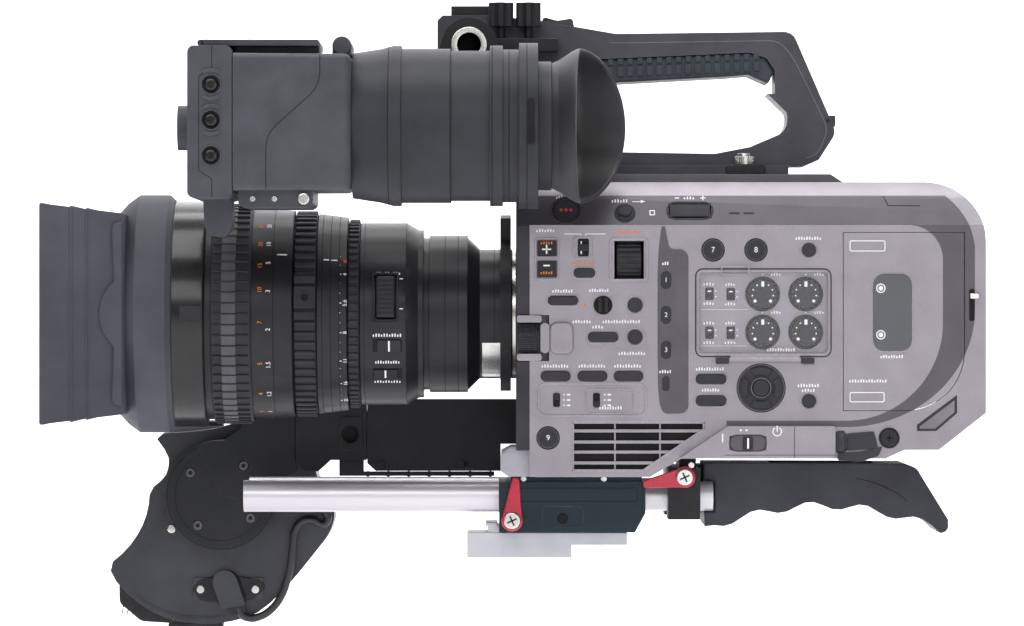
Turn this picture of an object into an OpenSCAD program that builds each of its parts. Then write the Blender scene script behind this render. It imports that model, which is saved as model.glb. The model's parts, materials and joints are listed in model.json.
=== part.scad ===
// Cinema camera rig: camera body with a zoom lens, top handle, viewfinder, rod base, rear pad and
// side grip. Millimetres, +Z up. The lens looks along -X and the operator stands on the -Y side.
// The origin is the mouth of the tripod thread in the underside of the tripod plate.

/* [Body] */
// Front face of the camera body along X
body_x = -1.5; // [-4:0.5:2]
// Rear face of the camera body along X
body_end = 218.5; // [214:0.5:224]
// Half the width of the body
body_half = 70; // [66:1:76]
// Underside of the body
body_z = 39.6; // [38:0.2:42]
// Height where the sloping shoulders start
shoulder_z = 157.6; // [150:0.2:162]
// Height of the flat top of the body
body_top = 178; // [172:1:180]
// Thickness of the side covers
cover_t = 4; // [3:0.5:5]

/* [Lens] */
// Height of the lens axis
lens_z = 116; // [110:1:122]
// Radius of the front barrel
barrel_r = 54; // [50:0.5:56]
// Radius of the focus ring
focus_r = 52.8; // [50:0.2:53.4]
// Radius of the zoom ring
zoom_r = 48.7; // [46:0.1:50]
// Radius of the iris ring
iris_r = 45; // [43:0.5:46]
// Radius of the round back of the lens hood
hood_r = 57; // [55:0.5:59]
// Half the width of the hood at its mouth
hood_half = 60; // [56:1:62]

/* [Rods] */
// Radius of the 15 mm rods
rod_r = 7.5; // [7.5:0.5:9.5]
// Half the distance between the rods
rod_y = 30; // [28:1:32]
// Height of the rods
rod_z = 29.5; // [28:0.5:31]

/* [Viewfinder] */
// Distance of the viewfinder axis from the lens axis
loupe_y = -100; // [-104:1:-98]
// Height of the viewfinder axis
loupe_z = 203; // [201:1:206]

/* [Side grip] */
// Centre of the rosette disc along X
disc_x = -146; // [-150:1:-140]
// Height of the centre of the rosette disc
disc_z = 27.2; // [25:0.2:30]
// Radius of the rosette disc
disc_r = 27; // [24:1:28]
// Depth where the hand grip starts, outside the arm
grip_y = 66.3; // [66.3:0.1:70]

/* [Hidden] */
$fn = 64;
gap = 0.3;
face = -body_half;
inner = body_half - cover_t;
shoulder_tilt = 60.6;
bezel_x = 4.8;
mount_r = 33;
dial_r = 6.2;
dial_at = [[114, 125.3], [134.2, 125.3], [114, 107.5], [134.2, 107.5]];
key_at = [[68.7, 131.8], [68.7, 115.5], [68.7, 99.1]];
cross_at = [-23.6, 242.6];
lcd_at = [-151.4, -131];
lcd_knob_x = -140.5;
hood_front = -225.6;
lever_front = [-3.4, 18.5];
lever_rear = [78, 39];
disc_screws = [52, 143, 233, 323];
screw_ring = 18.4;

// Points of an arc round [cx, cz] from angle a0 to a1
function arc(cx, cz, r, a0, a1, n = 8) =
    [for (i = [0 : n]) [cx + r * cos(a0 + (a1 - a0) * i / n), cz + r * sin(a0 + (a1 - a0) * i / n)]];

// A block between two corners given as [low, high] along each axis
module block(x, y, z) {
    translate([x[0], y[0], z[0]]) cube([x[1] - x[0], y[1] - y[0], z[1] - z[0]]);
}
// Extrudes an outline drawn in X and Z from depth y0 to y1
module slab(y0, y1) {
    translate([0, y1, 0]) rotate([90, 0, 0]) linear_extrude(y1 - y0) children();
}
// Extrudes an outline drawn in Y and Z from x0 to x1
module bar(x0, x1) {
    translate([x0, 0, 0]) rotate([90, 0, 90]) linear_extrude(x1 - x0) children();
}
// A round pin along Y
module pin_y(x, z, r, y0, y1) {
    translate([x, y0, z]) rotate([-90, 0, 0]) cylinder(r = r, h = y1 - y0);
}
// A round pin along X
module pin_x(y, z, r, x0, x1) {
    translate([x0, y, z]) rotate([0, 90, 0]) cylinder(r = r, h = x1 - x0);
}
// Turns a profile of [radius, x] points round an axis along X
module turned(profile, y = 0, z = lens_z, fn = 96) {
    translate([0, y, z]) rotate([0, 90, 0]) rotate_extrude($fn = fn) polygon(profile);
}
// A rectangle with round corners, in the plane of the outline
module round_rect(x, z, r) {
    translate([x[0] + r, z[0]]) square([x[1] - x[0] - 2 * r, z[1] - z[0]]);
    translate([x[0], z[0] + r]) square([x[1] - x[0], z[1] - z[0] - 2 * r]);
    for (px = [x[0] + r, x[1] - r], pz = [z[0] + r, z[1] - r]) translate([px, pz]) circle(r, $fn = 32);
}
// A place on the left shoulder, with +Z pointing out of the slope
module on_shoulder(x) {
    translate([x, -body_half + 3.83, 164.4]) rotate([shoulder_tilt, 0, 0]) children();
}

// Side view of the body: round rear top corner, bevelled rear foot and rising belly
function side_view(i = 0) = concat(
    [[body_x + i, body_top - i]],
    arc(190.5, 150, 28 - i, 90, 0, 12),
    [[body_end - i, 69.6], [196.5 - i / 2, 52.3 + i], [179, 52.3 + i], [171.6, 48.2 + i]],
    [[75.7, 48.2 + i], [61.2, body_z + i]],
    arc(body_x + 9.4, body_z + 9.4, 9.4 - i, 270, 180, 6)
);
// The opening of the rear cable loop
module loop_hole() {
    polygon([[186.2, 64], [204.9, 78], [204.9, 69.6], [195.1, 61.2], [186.2, 61.2]]);
}
// The outline of the vent in the left cover
module vent_outline(i = 0) {
    polygon([
        [24.7 + i, 65.4 - i], [87 - i * 2, 65.4 - i], [87 - i * 2, 62], [58 - i, 42.4 + i],
        [24.7 + i, 42.4 + i]
    ]);
}
// The media door: square corners but for the long round one at the rear foot
module door_outline(i = 0) {
    polygon(concat(
        [[151.5 + i, 154.3 - i], [208.6 - i, 154.3 - i]],
        arc(180.6, 98.5, 28 - i, 0, -90, 10),
        [[151.5 + i, 70.5 + i]]
    ));
}

// ---- camera body ----
module chassis() {
    color("#8d8890") {
        difference() {
            slab(-inner, inner) polygon([
                [bezel_x, shoulder_z], [214.5, shoulder_z], [214.5, 92], [181, 67.8], [181, 52.3],
                [171.6, 48.2], [75.7, 48.2], [61.2, body_z], [bezel_x, body_z]
            ]);
            block([40, 145], [-62, 62], [56, shoulder_z + 1]);
            block([bezel_x - 1, 36], [-40, 40], [76, shoulder_z + 1]);
            block([44.5, 58.3], [-inner - 1, -61], [128, shoulder_z + 1]);
            block([155, 205], [-inner - 1, -20], [80, 150]);
            block([150, 215], [-14, 56], [94, 152]);
            block([bezel_x - 1, 14], [-inner - 1, -55], [94, 115.5]);
            for (k = key_at) pin_y(k[0], k[1], 2, -inner - 1, -61);
            pin_y(113.2, 81.3, 2, -inner - 1, -61);
        }
        // Chin under the lens mount
        slab(-62, 62) polygon([
            [-8.6, 42], [-8.6, 49.6], [-4, 52], [body_x, 52], [body_x, body_z], [-5, body_z]
        ]);
        block([body_x, bezel_x], [-62, 62], [body_z, 52]);
    }
}
module left_cover() {
    color("#9a959d") difference() {
        slab(face, -inner) polygon(side_view());
        block([body_x - 1, body_end + 1], [face - 1, 0], [shoulder_z, body_top + 1]);
        block([body_x - 1, bezel_x], [face - 1, 0], [0, 200]);
        slab(face - 1, 0) loop_hole();
        slab(face - 1, 0) vent_outline();
        slab(face - 1, 0) door_outline();
        // Sound control recess, key column, dial slots and key holes
        slab(face - 1, 0) round_rect([83.5, 145], [96.8, 136], 2);
        slab(face - 1, 0) round_rect([64.8, 72.6], [90, 140], 3);
        block([44.5, 58.3], [face - 1, 0], [132.3, 150.1]);
        block([0, 14], [face - 1, 0], [94, 115.5]);
        pin_y(113.2, 81.3, 4.4, face - 1, 0);
    }
}
module right_cover() {
    color("#9a959d") {
        difference() {
            slab(inner, body_half) polygon(side_view());
            block([body_x - 1, body_end + 1], [0, body_half + 1], [shoulder_z, body_top + 1]);
            block([body_x - 1, bezel_x], [0, body_half + 1], [0, 200]);
            slab(0, body_half + 1) loop_hole();
        }
        // Raised connector panel at the rear
        slab(body_half, body_half + 3) round_rect([120, 200], [90, 150], 5);
    }
}
module top_cover() {
    color("#5b575c") difference() {
        intersection() {
            bar(body_x, body_end) polygon([
                [-70, shoulder_z], [-62, 171.8], [-55, body_top],
                [55, body_top], [62, 171.8], [70, shoulder_z]
            ]);
            slab(-90, 90) polygon(side_view());
        }
        intersection() {
            bar(body_x + 3, body_end) polygon([
                [-66, shoulder_z - 1], [-66, shoulder_z], [-58.4, 169.6], [-53.4, 174], [53.4, 174],
                [58.4, 169.6], [66, shoulder_z], [66, shoulder_z - 1]
            ]);
            slab(-90, 90) polygon(side_view(3.5));
        }
        on_shoulder(21.9) translate([0, 0, -8]) cylinder(r = 6.5, h = 20);
        on_shoulder(80) translate([-10, -4, -8]) cube([20, 8, 20]);
    }
    // Raised seat of the handle
    color("#5b575c") slab(-46, 46) polygon([[4, body_top], [7, 182], [147, 182], [153, body_top]]);
}
module front_bezel() {
    color("#3c3a3e") difference() {
        block([body_x, bezel_x], [face, body_half], [52, shoulder_z]);
        pin_x(0, lens_z, mount_r, body_x - 1, bezel_x + 1);
        block([body_x - 1, bezel_x + 1], [face - 1, -55], [94, 115.5]);
    }
}
module lens_mount() {
    color("silver") turned([
        [27, -3.5], [31, -3.5], [31, body_x], [mount_r, body_x], [mount_r, bezel_x + 3.2],
        [27, bezel_x + 3.2]
    ]);
}
module sensor_unit() {
    color("#31404a") {
        difference() {
            block([20, 30], [-39.7, 39.7], [76, 155]);
            block([19, 24], [-20, 20], [lens_z - 12, lens_z + 12]);
        }
        block([22, 24], [-18, 18], [lens_z - 10, lens_z + 10]);
    }
}
module main_board() {
    color("#20553a") {
        block([64, 66], [-60, 60], [57, 150]);
        for (z = [70 : 24 : 130]) block([66, 72], [-30, 20], [z, z + 16]);
    }
    // Cooling fan behind the vent
    color("#2a2a2c") difference() {
        block([76, 92], [-60, -20], [57, 97]);
        pin_x(-40, 77, 17, 75, 93);
    }
}
module vent_grille() {
    color("#6a666d") difference() {
        slab(face + 0.6, -inner) vent_outline(0.05);
        for (z = [61.1, 55.9, 50.6, 45.4]) {
            block([27, 42.4], [face - 1, face + 3], [z - 1.4, z + 1.4]);
            block([44, 55], [face - 1, face + 3], [z - 1.4, z + 1.4]);
        }
        for (z = [61.1, 55.9]) block([56.6, 70], [face - 1, face + 3], [z - 1.4, z + 1.4]);
    }
}
module battery() {
    color("#26262a") slab(-13.7, 55.7) round_rect([150.3, 214.2], [94.3, 151.7], 3);
}
module switch_housing() {
    color("#77737b") difference() {
        slab(face - 5, face) polygon([
            [74.7, 48.4], [97.6, 63.6], [148, 63.6], [148, 50], [146, 48.4]
        ]);
        block([98.6, 115], [face - 6, face - 2], [52.6, 58.6]);
    }
}
module power_switch() {
    color("#1c1c1e") {
        block([104.4, 109.2], [face - 6.4, face - 2.3], [53, 58.2]);
    }
}
module audio_hinge() {
    color("#3a393c") for (x = [92, 132]) block([x, x + 6], [face - 2.6, face], [92.6, 95.4]);
}

// ---- moving controls of the body ----
module lock_ring() {
    color("#29292b") {
        turned([[31.3, -9], [37, -9], [37, -3.9], [31.3, -3.9]]);
        // Lever that stands up beside the mount
        translate([0, 0, lens_z]) rotate([12, 0, 0]) block([-9, -3.9], [-4, 4], [36.5, 47.5]);
    }
}
module media_door() {
    color("#77737b") slab(face, face + 3) door_outline(gap);
    color("#101114") slab(face - 0.4, face) round_rect([165.6, 183.8], [98.4, 134.9], 3);
}
module audio_cover() {
    color("#8e8a92") {
        difference() {
            slab(face - 2, face - gap) round_rect([83, 145.5], [96.4, 136.6], 3);
            slab(face - 1.2, face) round_rect([84.5, 144], [97.9, 135.1], 2);
        }
        slab(face - 3.2, face - 2) round_rect([94.5, 107.6], [134, 138], 1);
        pin_x(face - 1.5, 94.4, 1, 98.3, 131.7);
        block([98.6, 131.4], [face - 2, face - 1], [94.4, 96.6]);
    }
}
module audio_dial(i) {
    color("#2b2b2e") {
        pin_y(dial_at[i][0], dial_at[i][1], dial_r, face + 0.4, -inner);
        block([dial_at[i][0] - 0.9, dial_at[i][0] + 0.9], [face, face + 0.4],
            [dial_at[i][1] - 5.4, dial_at[i][1] + 5.4]);
    }
}
module audio_dial_1() { audio_dial(0); }
module audio_dial_2() { audio_dial(1); }
module audio_dial_3() { audio_dial(2); }
module audio_dial_4() { audio_dial(3); }
module nd_dial() {
    color("#28282a") pin_x(face + 9.5, 141.2, 10.2, 45.2, 57.6);
}
module menu_dial() {
    color("#2c2c2e") pin_x(face + 6, 104.7, 8.4, -1.2, 10);
    color("#77737b") pin_x(face + 6, 104.7, 6, 10, 14);
}
module rec_button() {
    color("#3a2a2c") on_shoulder(21.9) translate([0, 0, -1.8]) cylinder(r = 6.2, h = 2.4);
}
module volume_rocker() {
    color("#2c2c2e") on_shoulder(80) translate([-9.6, -3.4, -2.2]) cube([19.2, 6.8, 2.6]);
}
module pad_key() {
    color("#2c2c2e") {
        pin_y(113.2, 81.3, 4.1, face - 1.4, -inner - 1);
        pin_y(113.2, 81.3, 1.7, -inner - 1, -inner + 3);
    }
}
module key(i) {
    color("#2c2c2e") {
        slab(face + 0.6, face + 2.4) {
            translate([key_at[i][0], key_at[i][1] - 2]) circle(2.7);
            translate([key_at[i][0], key_at[i][1] + 2]) circle(2.7);
            translate([key_at[i][0] - 2.7, key_at[i][1] - 2]) square([5.4, 4]);
        }
        pin_y(key_at[i][0], key_at[i][1], 1.7, face + 2.4, -inner + 3);
    }
}
module key_1() { key(0); }
module key_2() { key(1); }
module key_3() { key(2); }

// ---- lens ----
module lens_barrel() {
    color("#1d1d1f") difference() {
        turned([
            [46, -164.4], [barrel_r, -164.4], [barrel_r, -149.3], [50.6, -148.6], [50.6, -144.5],
            [47, -144.5], [47, -128.7], [50.2, -128.7], [50.2, -118.6], [49.4, -107.1],
            [45, -107.1], [45, -95.6], [48, -95.6], [46.3, -81.6], [42, -81.6], [42, -75.4],
            [43.6, -75.4], [43.6, -53.8], [40.2, -48], [40.2, -45.6], [36.4, -45.6], [36.4, -42.8],
            [37.6, -42.8], [37.6, -24.5], [36.6, -24.5], [31, -18.8], [31, -3.5], [26.7, -3.5], [26.7, 3],
            [20, 3], [20, -12], [30, -30], [30, -128], [40, -140], [46, -140]
        ]);
        // Pocket of the zoom rocker
        translate([0, 0, lens_z]) rotate([-10.6, 0, 0]) block([-68, -58.4], [-50, -38.5], [-11, 11]);
    }
}
module lens_glass() {
    color("#3c4a55") {
        turned(concat(
            [[0, -140], [45.7, -140], [45.7, -147]],
            [for (i = [0 : 8]) [45 * (1 - i / 8), -147 - 6 * (1 - pow(1 - i / 8, 2))]]
        ));
        turned([[0, -6], [20, -6], [20, -3], [0, -2]]);
    }
}
module lens_hood() {
    color("#3e3f43") difference() {
        union() {
            hull() {
                slab(-hood_half, hood_half)
                    round_rect([hood_front, hood_front + 2], [lens_z - 52, lens_z + 52], 0.9);
                slab(-54, 54) round_rect([-188, -186], [lens_z - 47.4, lens_z + 47.4], 0.9);
            }
            turned([
                [40, -164.4], [54.5, -164.4], [hood_r, -167.1], [hood_r, -181.5], [53, -187],
                [49, -190.6], [40, -190.6]
            ]);
        }
        turned([[0, -160], [46, -160], [46, -192], [0, -192]]);
        hull() {
            block([hood_front - 2, hood_front - 1], [-hood_half + 2.5, hood_half - 2.5],
                [lens_z - 49.5, lens_z + 49.5]);
            block([-190, -189], [-50, 50], [lens_z - 45, lens_z + 45]);
        }
    }
}
// A ribbed control ring that turns on the barrel
module ribbed_ring(x0, x1, bore, r, ribs) {
    difference() {
        turned([[bore, x0], [r - 0.6, x0], [r, x0 + 0.8], [r, x1 - 0.8], [r - 0.6, x1], [bore, x1]]);
        for (i = [0 : ribs - 1]) translate([0, 0, lens_z]) rotate([i * 360 / ribs, 0, 0])
            block([x0 + 2, x1 - 2], [-0.8, 0.8], [r - 0.9, r + 1]);
    }
}
module focus_ring() {
    color("#27272a") ribbed_ring(-144.2, -129, 47.3, focus_r, 48);
}
module zoom_ring() {
    color("#27272a") ribbed_ring(-106.8, -95.9, 45.3, zoom_r, 48);
    // Boss with the hole of the zoom lever
    color("#27272a") translate([0, 0, lens_z]) rotate([-9, 0, 0]) difference() {
        block([-106.6, -96.1], [-zoom_r - 1.6, -46.5], [-5.2, 5.2]);
        translate([-101.3, -zoom_r - 2, 0]) rotate([-90, 0, 0]) cylinder(r = 1.65, h = 3);
    }
}
module iris_ring() {
    color("#27272a") ribbed_ring(-81.3, -75.7, 42.3, iris_r, 48);
}
module zoom_rocker() {
    color("#2c2c2e") translate([0, 0, lens_z]) rotate([-10.6, 0, 0]) {
        block([-67.6, -58.8], [-45.4, -41.6], [-10, 10]);
        pin_x(-40.5, 0, 1.8, -67.6, -58.8);
    }
}

// ---- top handle ----
// Side view of the handle casting, opening included
module handle_side() {
    difference() {
        polygon(concat(
            [[-39, 256], [-36.5, 258.4], [-12, 258.4], [10, 255.5], [27.6, 252.8], [46.2, 249.6],
                [116, 250.4], [127, 250.6]],
            arc(127, 245, 5.4, 80, 20, 3),
            arc(144, 203, 6.5, 20, -40, 4),
            [[143, 189.5], [136, 186.5], [8, 186.5], [2, 193], [2, 214], [-2, 228], [-39, 228]]
        ));
        polygon(concat(
            [[34, 193.4], [26, 197], [24, 204], [24, 218], [27, 224], [34, 226.4], [98.7, 229]],
            arc(103, 211, 18, 90, 40, 4), arc(118.6, 209, 9.4, 20, -50, 5), [[110, 195.6], [93.4, 192.4]]));
        // Seat of the soft grip under the top bar
        polygon([[36, 221], [36, 237.4], [110, 240.6], [118, 238], [122, 232], [122, 221]]);
    }
}
module handle_frame() {
    color("#39393d") difference() {
        slab(-17, 17) handle_side();
        // Socket of the cross rod and the threaded hole in the top
        pin_y(cross_at[0], cross_at[1], 8.7, -18, 18);
        translate([70, 0, 242]) cylinder(r = 3.175, h = 12);
    }
    color("#2c2c2f") difference() {
        block([18, 128], [-28, 28], [182, 186.5]);
        translate([107.3, -22.3, 183]) cylinder(r = 1.55, h = 5);
    }
    // Rocker seat and rear boss
    color("#39393d") block([10, 26], [-8, 8], [253.4, 256.2]);
    color("#39393d") block([147, 151.6], [-5, 5], [205.8, 211]);
}
module handle_grip() {
    color("#33383d") slab(-16, 16) polygon(concat(
        [[36.3, 225.8], [36.3, 237], [110, 240.2], [117.7, 237.7], [121.6, 231.6], [118.9, 225.8],
            [109.2, 230.1], [98.7, 229.2]]
    ));
}
module shoe_plate() {
    color("#303034") difference() {
        block([-32.5, -14], [-9.6, 9.6], [258.4, 263.2]);
        block([-33, -16], [-7, 7], [259.8, 262]);
        block([-33, -16], [-5, 5], [261, 264]);
    }
}
// A lobed clamp knob on its stud
module clamp_knob(x, y) {
    color("#28282b") translate([x, y, 0]) {
        difference() {
            translate([0, 0, 252.6]) cylinder(r = 6.3, h = 11.4);
            for (a = [0 : 60 : 300]) rotate([0, 0, a]) translate([7.6, 0, 252])
                cylinder(r = 2.6, h = 13, $fn = 32);
        }
        translate([0, 0, 243]) cylinder(r = 2, h = 10);
    }
}
module clamp_knob_1() { clamp_knob(-8.6, -24); }
module clamp_knob_2() { clamp_knob(4.4, -24); }
module thumbscrew() {
    color("silver") translate([107.3, -22.3, 0]) {
        translate([0, 0, 186.8]) cylinder(r = 4.8, h = 5.6);
        translate([0, 0, 183.5]) cylinder(r = 1.5, h = 3.4);
    }
}
module cross_rod() {
    color("#4a4a4e") difference() {
        pin_y(cross_at[0], cross_at[1], 8.6, -58, 17);
        pin_y(cross_at[0], cross_at[1], 5.4, -59, 18);
    }
    // Slide block that carries the clamp knobs beside the handle
    color("#303034") difference() {
        block([-14.9, 18.6], [-30, -17], [240.6, 246.9]);
        for (x = [-8.6, 4.4]) translate([x, -24, 242.5]) cylinder(r = 2.05, h = 5);
    }
}

// ---- viewfinder ----
module evf_arm() {
    color("#26272a") {
        difference() {
            slab(-57, -36) polygon(concat([[-125, 222], [-125, 234], [-40, 234]],
                arc(cross_at[0], cross_at[1], 13, 170, -60, 14), [[-30, 222]]));
            pin_y(cross_at[0], cross_at[1], 8.65, -60, -30);
            block([-160, -30], [-60, -48.4], [200, 240]);
        }
        // Drop plate that carries the tilt hinge of the monitor
        block([-150, -118], [-48.4, -44], [194, 234]);
        pin_y(-143.6, 203, 4, -52, -48.4);
        block([-125, -118], [-44, -36], [222, 234]);
    }
}
module lcd_monitor() {
    color("#3d3e42") {
        difference() {
            slab(-145, -49) round_rect([lcd_at[0], lcd_at[1]], [168.8, 238.3], 3);
            pin_y(-143.6, 203, 4.05, -53, -48);
            block([lcd_at[1] - 1.5, lcd_at[1] + 1], [-134, -60], [180, 226]);
            for (z = [220.6, 204.4, 188.2]) pin_y(lcd_knob_x, z, 4.1, -146, -142);
        }
        pin_x(loupe_y, 202, 10.4, -158, lcd_at[0]);
        // Foot under the monitor with the cable outlet
        slab(-108, -84) polygon(concat([[-146, 168.8]], arc(-139, 158, 6.5, 180, 360, 8), [[-132.6, 168.8]]));
    }
    color("#0a0c10") block([lcd_at[1] - 1.5, lcd_at[1] - 0.8], [-134, -60], [180, 226]);
}
module lcd_dials() {
    color("#26272a") for (z = [220.6, 204.4, 188.2]) pin_y(lcd_knob_x, z, 3.3, -146.2, -142);
}
module loupe_box() {
    color("#404247") difference() {
        hull() {
            slab(-145, -49) round_rect([lcd_at[1] + gap, lcd_at[1] + 2], [172.5, 235], 0.8);
            slab(-137, -57) round_rect([-80, -77.1], [172.5, 235], 1.4);
        }
        block([-140, -70], [-132, -62], [178, 228]);
    }
    color("#2c2d30") {
        block([-146, -92], [-132, -62], [238.6, 241.6]);
        pin_y(-146, 240.1, 1.5, -132, -62);
        block([-130.4, -92], [-120, -74], [235, 238.6]);
        pin_y(-81.5, 239.2, 4.2, -122, -72);
        block([-129, -94], [-134, -60], [164.4, 172.5]);
    }
}
module loupe_tube() {
    // Eyepiece lens
    color("#3c4a55") turned([[0, -8], [26, -8], [26, -4], [16, -1.6], [0, -0.6]], loupe_y, loupe_z);
    color("#2e2f32") turned([
        [28, -77.1], [33.6, -77.1], [35.6, -64], [37.2, -58], [37.2, -54.4], [35.7, -54.4], [35.7, -31.7],
        [34.8, -31.7], [34.8, -13.6], [37.2, -13.6], [37.2, -7.6], [35.4, -7.6], [35.4, -0.2], [38.4, -0.2],
        [38.4, 8.6], [29.8, 8.8], [29.8, 14.8], [26, 14.8], [26, -20], [28, -20]
    ], loupe_y, loupe_z);
}
module eyecup() {
    color("#242527") difference() {
        turned([
            [27, 14.8], [29, 14.8], [33.4, 22], [36, 28], [35.8, 36], [34.4, 50.8], [32.4, 50.8],
            [33.8, 36], [34, 29], [31.4, 23.4], [27, 18]
        ], loupe_y, loupe_z);
        // The near rim is short, and the far side reaches further back as an eye shield
        translate([28.6, loupe_y, loupe_z]) rotate([0, 0, -4]) block([0, 60], [-60, 0], [-50, 50]);
        translate([28.6, loupe_y, loupe_z]) rotate([0, 0, -31]) block([0, 60], [-1, 60], [-50, 50]);
    }
}

// ---- rod base ----
module bridge_plate() {
    color("#1f262e") difference() {
        union() {
            slab(-48, 48) polygon([[-9.5, 12.8], [54.6, 12.8], [59.6, 22], [59.6, 36.6], [-9.5, 36.6]]);
            // Bed that reaches up to the underside of the camera
            block([-4, 58], [-44, 44], [36.6, body_z]);
        }
        for (y = [-rod_y, rod_y]) pin_x(y, rod_z, rod_r - 0.48, -10, 61);
        // Shallow pocket round the accessory thread on the near side
        slab(-49, -47) round_rect([11, 30], [15.6, 25], 2);
        pin_y(20.5, 19.4, 2.5, -49, -36);
        // Channel that the tripod plate slides in
        block([-11, 61], [-24, 24], [12, 17]);
        pin_y(lever_front[0], lever_front[1], 2.55, -48, -40);
        pin_y(lever_front[0], lever_front[1], 2.55, 40, 48);
    }
}
module rods() {
    color("#c9c8cd") for (y = [-rod_y, rod_y]) difference() {
        union() {
            pin_x(y, rod_z, rod_r, -130.7, -9.5);
            pin_x(y, rod_z, rod_r - 0.5, -9.5, 92);
        }
        pin_x(y, rod_z, 5, -131, -118);
    }
}
// A red clamping lever on its screw, drawn pointing up
module lever(x, z, y, tilt, reach) {
    color("#c5243d") translate([x, y, z]) rotate([0, tilt, 0]) {
        slab(-3.4, 0) {
            circle(5.1);
            polygon([
                [-4.6, 2], [4.6, 2], [1.9, reach - 1.4], [1.2, reach], [-1.2, reach], [-1.9, reach - 1.4]
            ]);
        }
    }
    color("silver") pin_y(x, z, 3.9, y - 4.6, y - 3.4);
    color("silver") pin_y(x, z, 2.5, y, y + 7);
}
module front_lever() { lever(lever_front[0], lever_front[1], -48.3, 5, 20.5); }
module rear_lever() { lever(lever_rear[0], lever_rear[1], -48.3, -100, 20); }
module rear_clamp() {
    color("#17181a") difference() {
        union() {
            block([70.3, 85.5], [-48, 48], [18.9, 43]);
            block([76, 84], [-30, 30], [43, 48.2]);
        }
        for (y = [-rod_y, rod_y]) pin_x(y, rod_z, rod_r - 0.48, 70, 86);
        pin_y(lever_rear[0], lever_rear[1], 2.55, -49, -40);
        block([66, 90], [-20, 20], [18, 34]);
    }
}
module tripod_plate() {
    color("#c3c3c9") difference() {
        union() {
            block([-24.8, 25], [-25, 25], [0, 6]);
            block([-24.8, 51.4], [-25, 25], [6, 11.7]);
            block([-15, 48], [-23.7, 23.7], [11.7, 15]);
        }
        translate([0, 0, -1]) cylinder(r = 3.175, h = 11);
        translate([18, 0, -1]) cylinder(r = 2.5, h = 8);
    }
    // Stop strip at the front
    color("#222226") block([-16, -10.5], [-24, 24], [15, 16.4]);
}
module rear_pad() {
    color("#33343a") difference() {
        slab(-29, 29) polygon(concat(
            [[87.6, 45.2], [183.3, 44.9]], arc(184.5, 37.5, 6.5, 80, 20, 4),
            [[204, 18]], arc(200.4, 15.4, 3.6, 20, -100, 5),
            [for (i = [0 : 24]) [196 - i * 4.3, 15.5 + 9.4 * sin(i * 7.5) + 1.9 * sin(i * 60)]],
            [[88, 15]]
        ));
        for (y = [-rod_y, rod_y]) pin_x(y, rod_z, rod_r + 0.3, 87, 93);
        block([120, 170], [-16, 16], [40, 46]);
    }
    // Post that carries the pad from the rear clamp
    color("#17181a") block([85.5, 87.6], [-20, 20], [36, 44]);
}

// ---- side grip ----
module arm_outer() {
    color("#232427") {
        difference() {
            slab(52, 66) polygon([
                [-74.2, 74.3], [-74.2, 43], [-70, 39.2], [-8.9, 39.2], [-8.9, 52.4],
                [body_x, 52.4], [body_x, 74.3]
            ]);
            block([-75, -20], [55, 64], [45, 68.6]);
            for (x = [-67, -26]) pin_y(x, 42.6, 1.6, 51, 54);
        }
        for (x = [-69.2, -28.4]) pin_y(x, 42, 1.5, 51.2, 52);
    }
}
module arm_inner() {
    color("#26272a") {
        difference() {
            union() {
                block([-90, -24], [55.1, 63.9], [45.1, 68.5]);
                slab(52.2, 66) polygon([
                    [-109, 73.6], [-74.6, 73.6], [-74.6, 44.5], [-92, 44.5], [-98, 39], [-104, 39], [-109, 43]
                ]);
                slab(53, 66) polygon(concat([[-109.2, 73.6], [-109.2, 39], [-114, 36]],
                    arc(disc_x, disc_z, disc_r, 20, -10, 3), [[disc_x, disc_z]],
                    arc(disc_x, disc_z, disc_r, 115, 86, 3),
                    [[-136, 60], [-128, 73.6]]));
                pin_y(disc_x, disc_z, disc_r, 55, 66);
                pin_y(disc_x, disc_z, disc_r - 1.6, 54, 55);
                slab(50.4, 52.2) round_rect([-87.6, -77.2], [49.5, 65.4], 2);
            }
            pin_y(-82.4, 57, 3.9, 50, 60);
            for (a = disc_screws)
                pin_y(disc_x + screw_ring * cos(a), disc_z + screw_ring * sin(a), 2.6, 53, 55.4);
        }
        for (a = disc_screws)
            pin_y(disc_x + screw_ring * cos(a), disc_z + screw_ring * sin(a), 2.3, 54.2, 55.4);
        pin_y(disc_x, disc_z, 7, 66, 74);
    }
    // Detent strip under the arm
    color("#1c1c1e") {
        block([-78, -12], [58, 62], [36.6, 38.8]);
        block([-88, -76], [57, 63], [36.6, 44.5]);
        for (i = [0 : 6]) pin_y(-74 + i * 10, 37.6, 1.4, 58, 62);
    }
}
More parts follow.
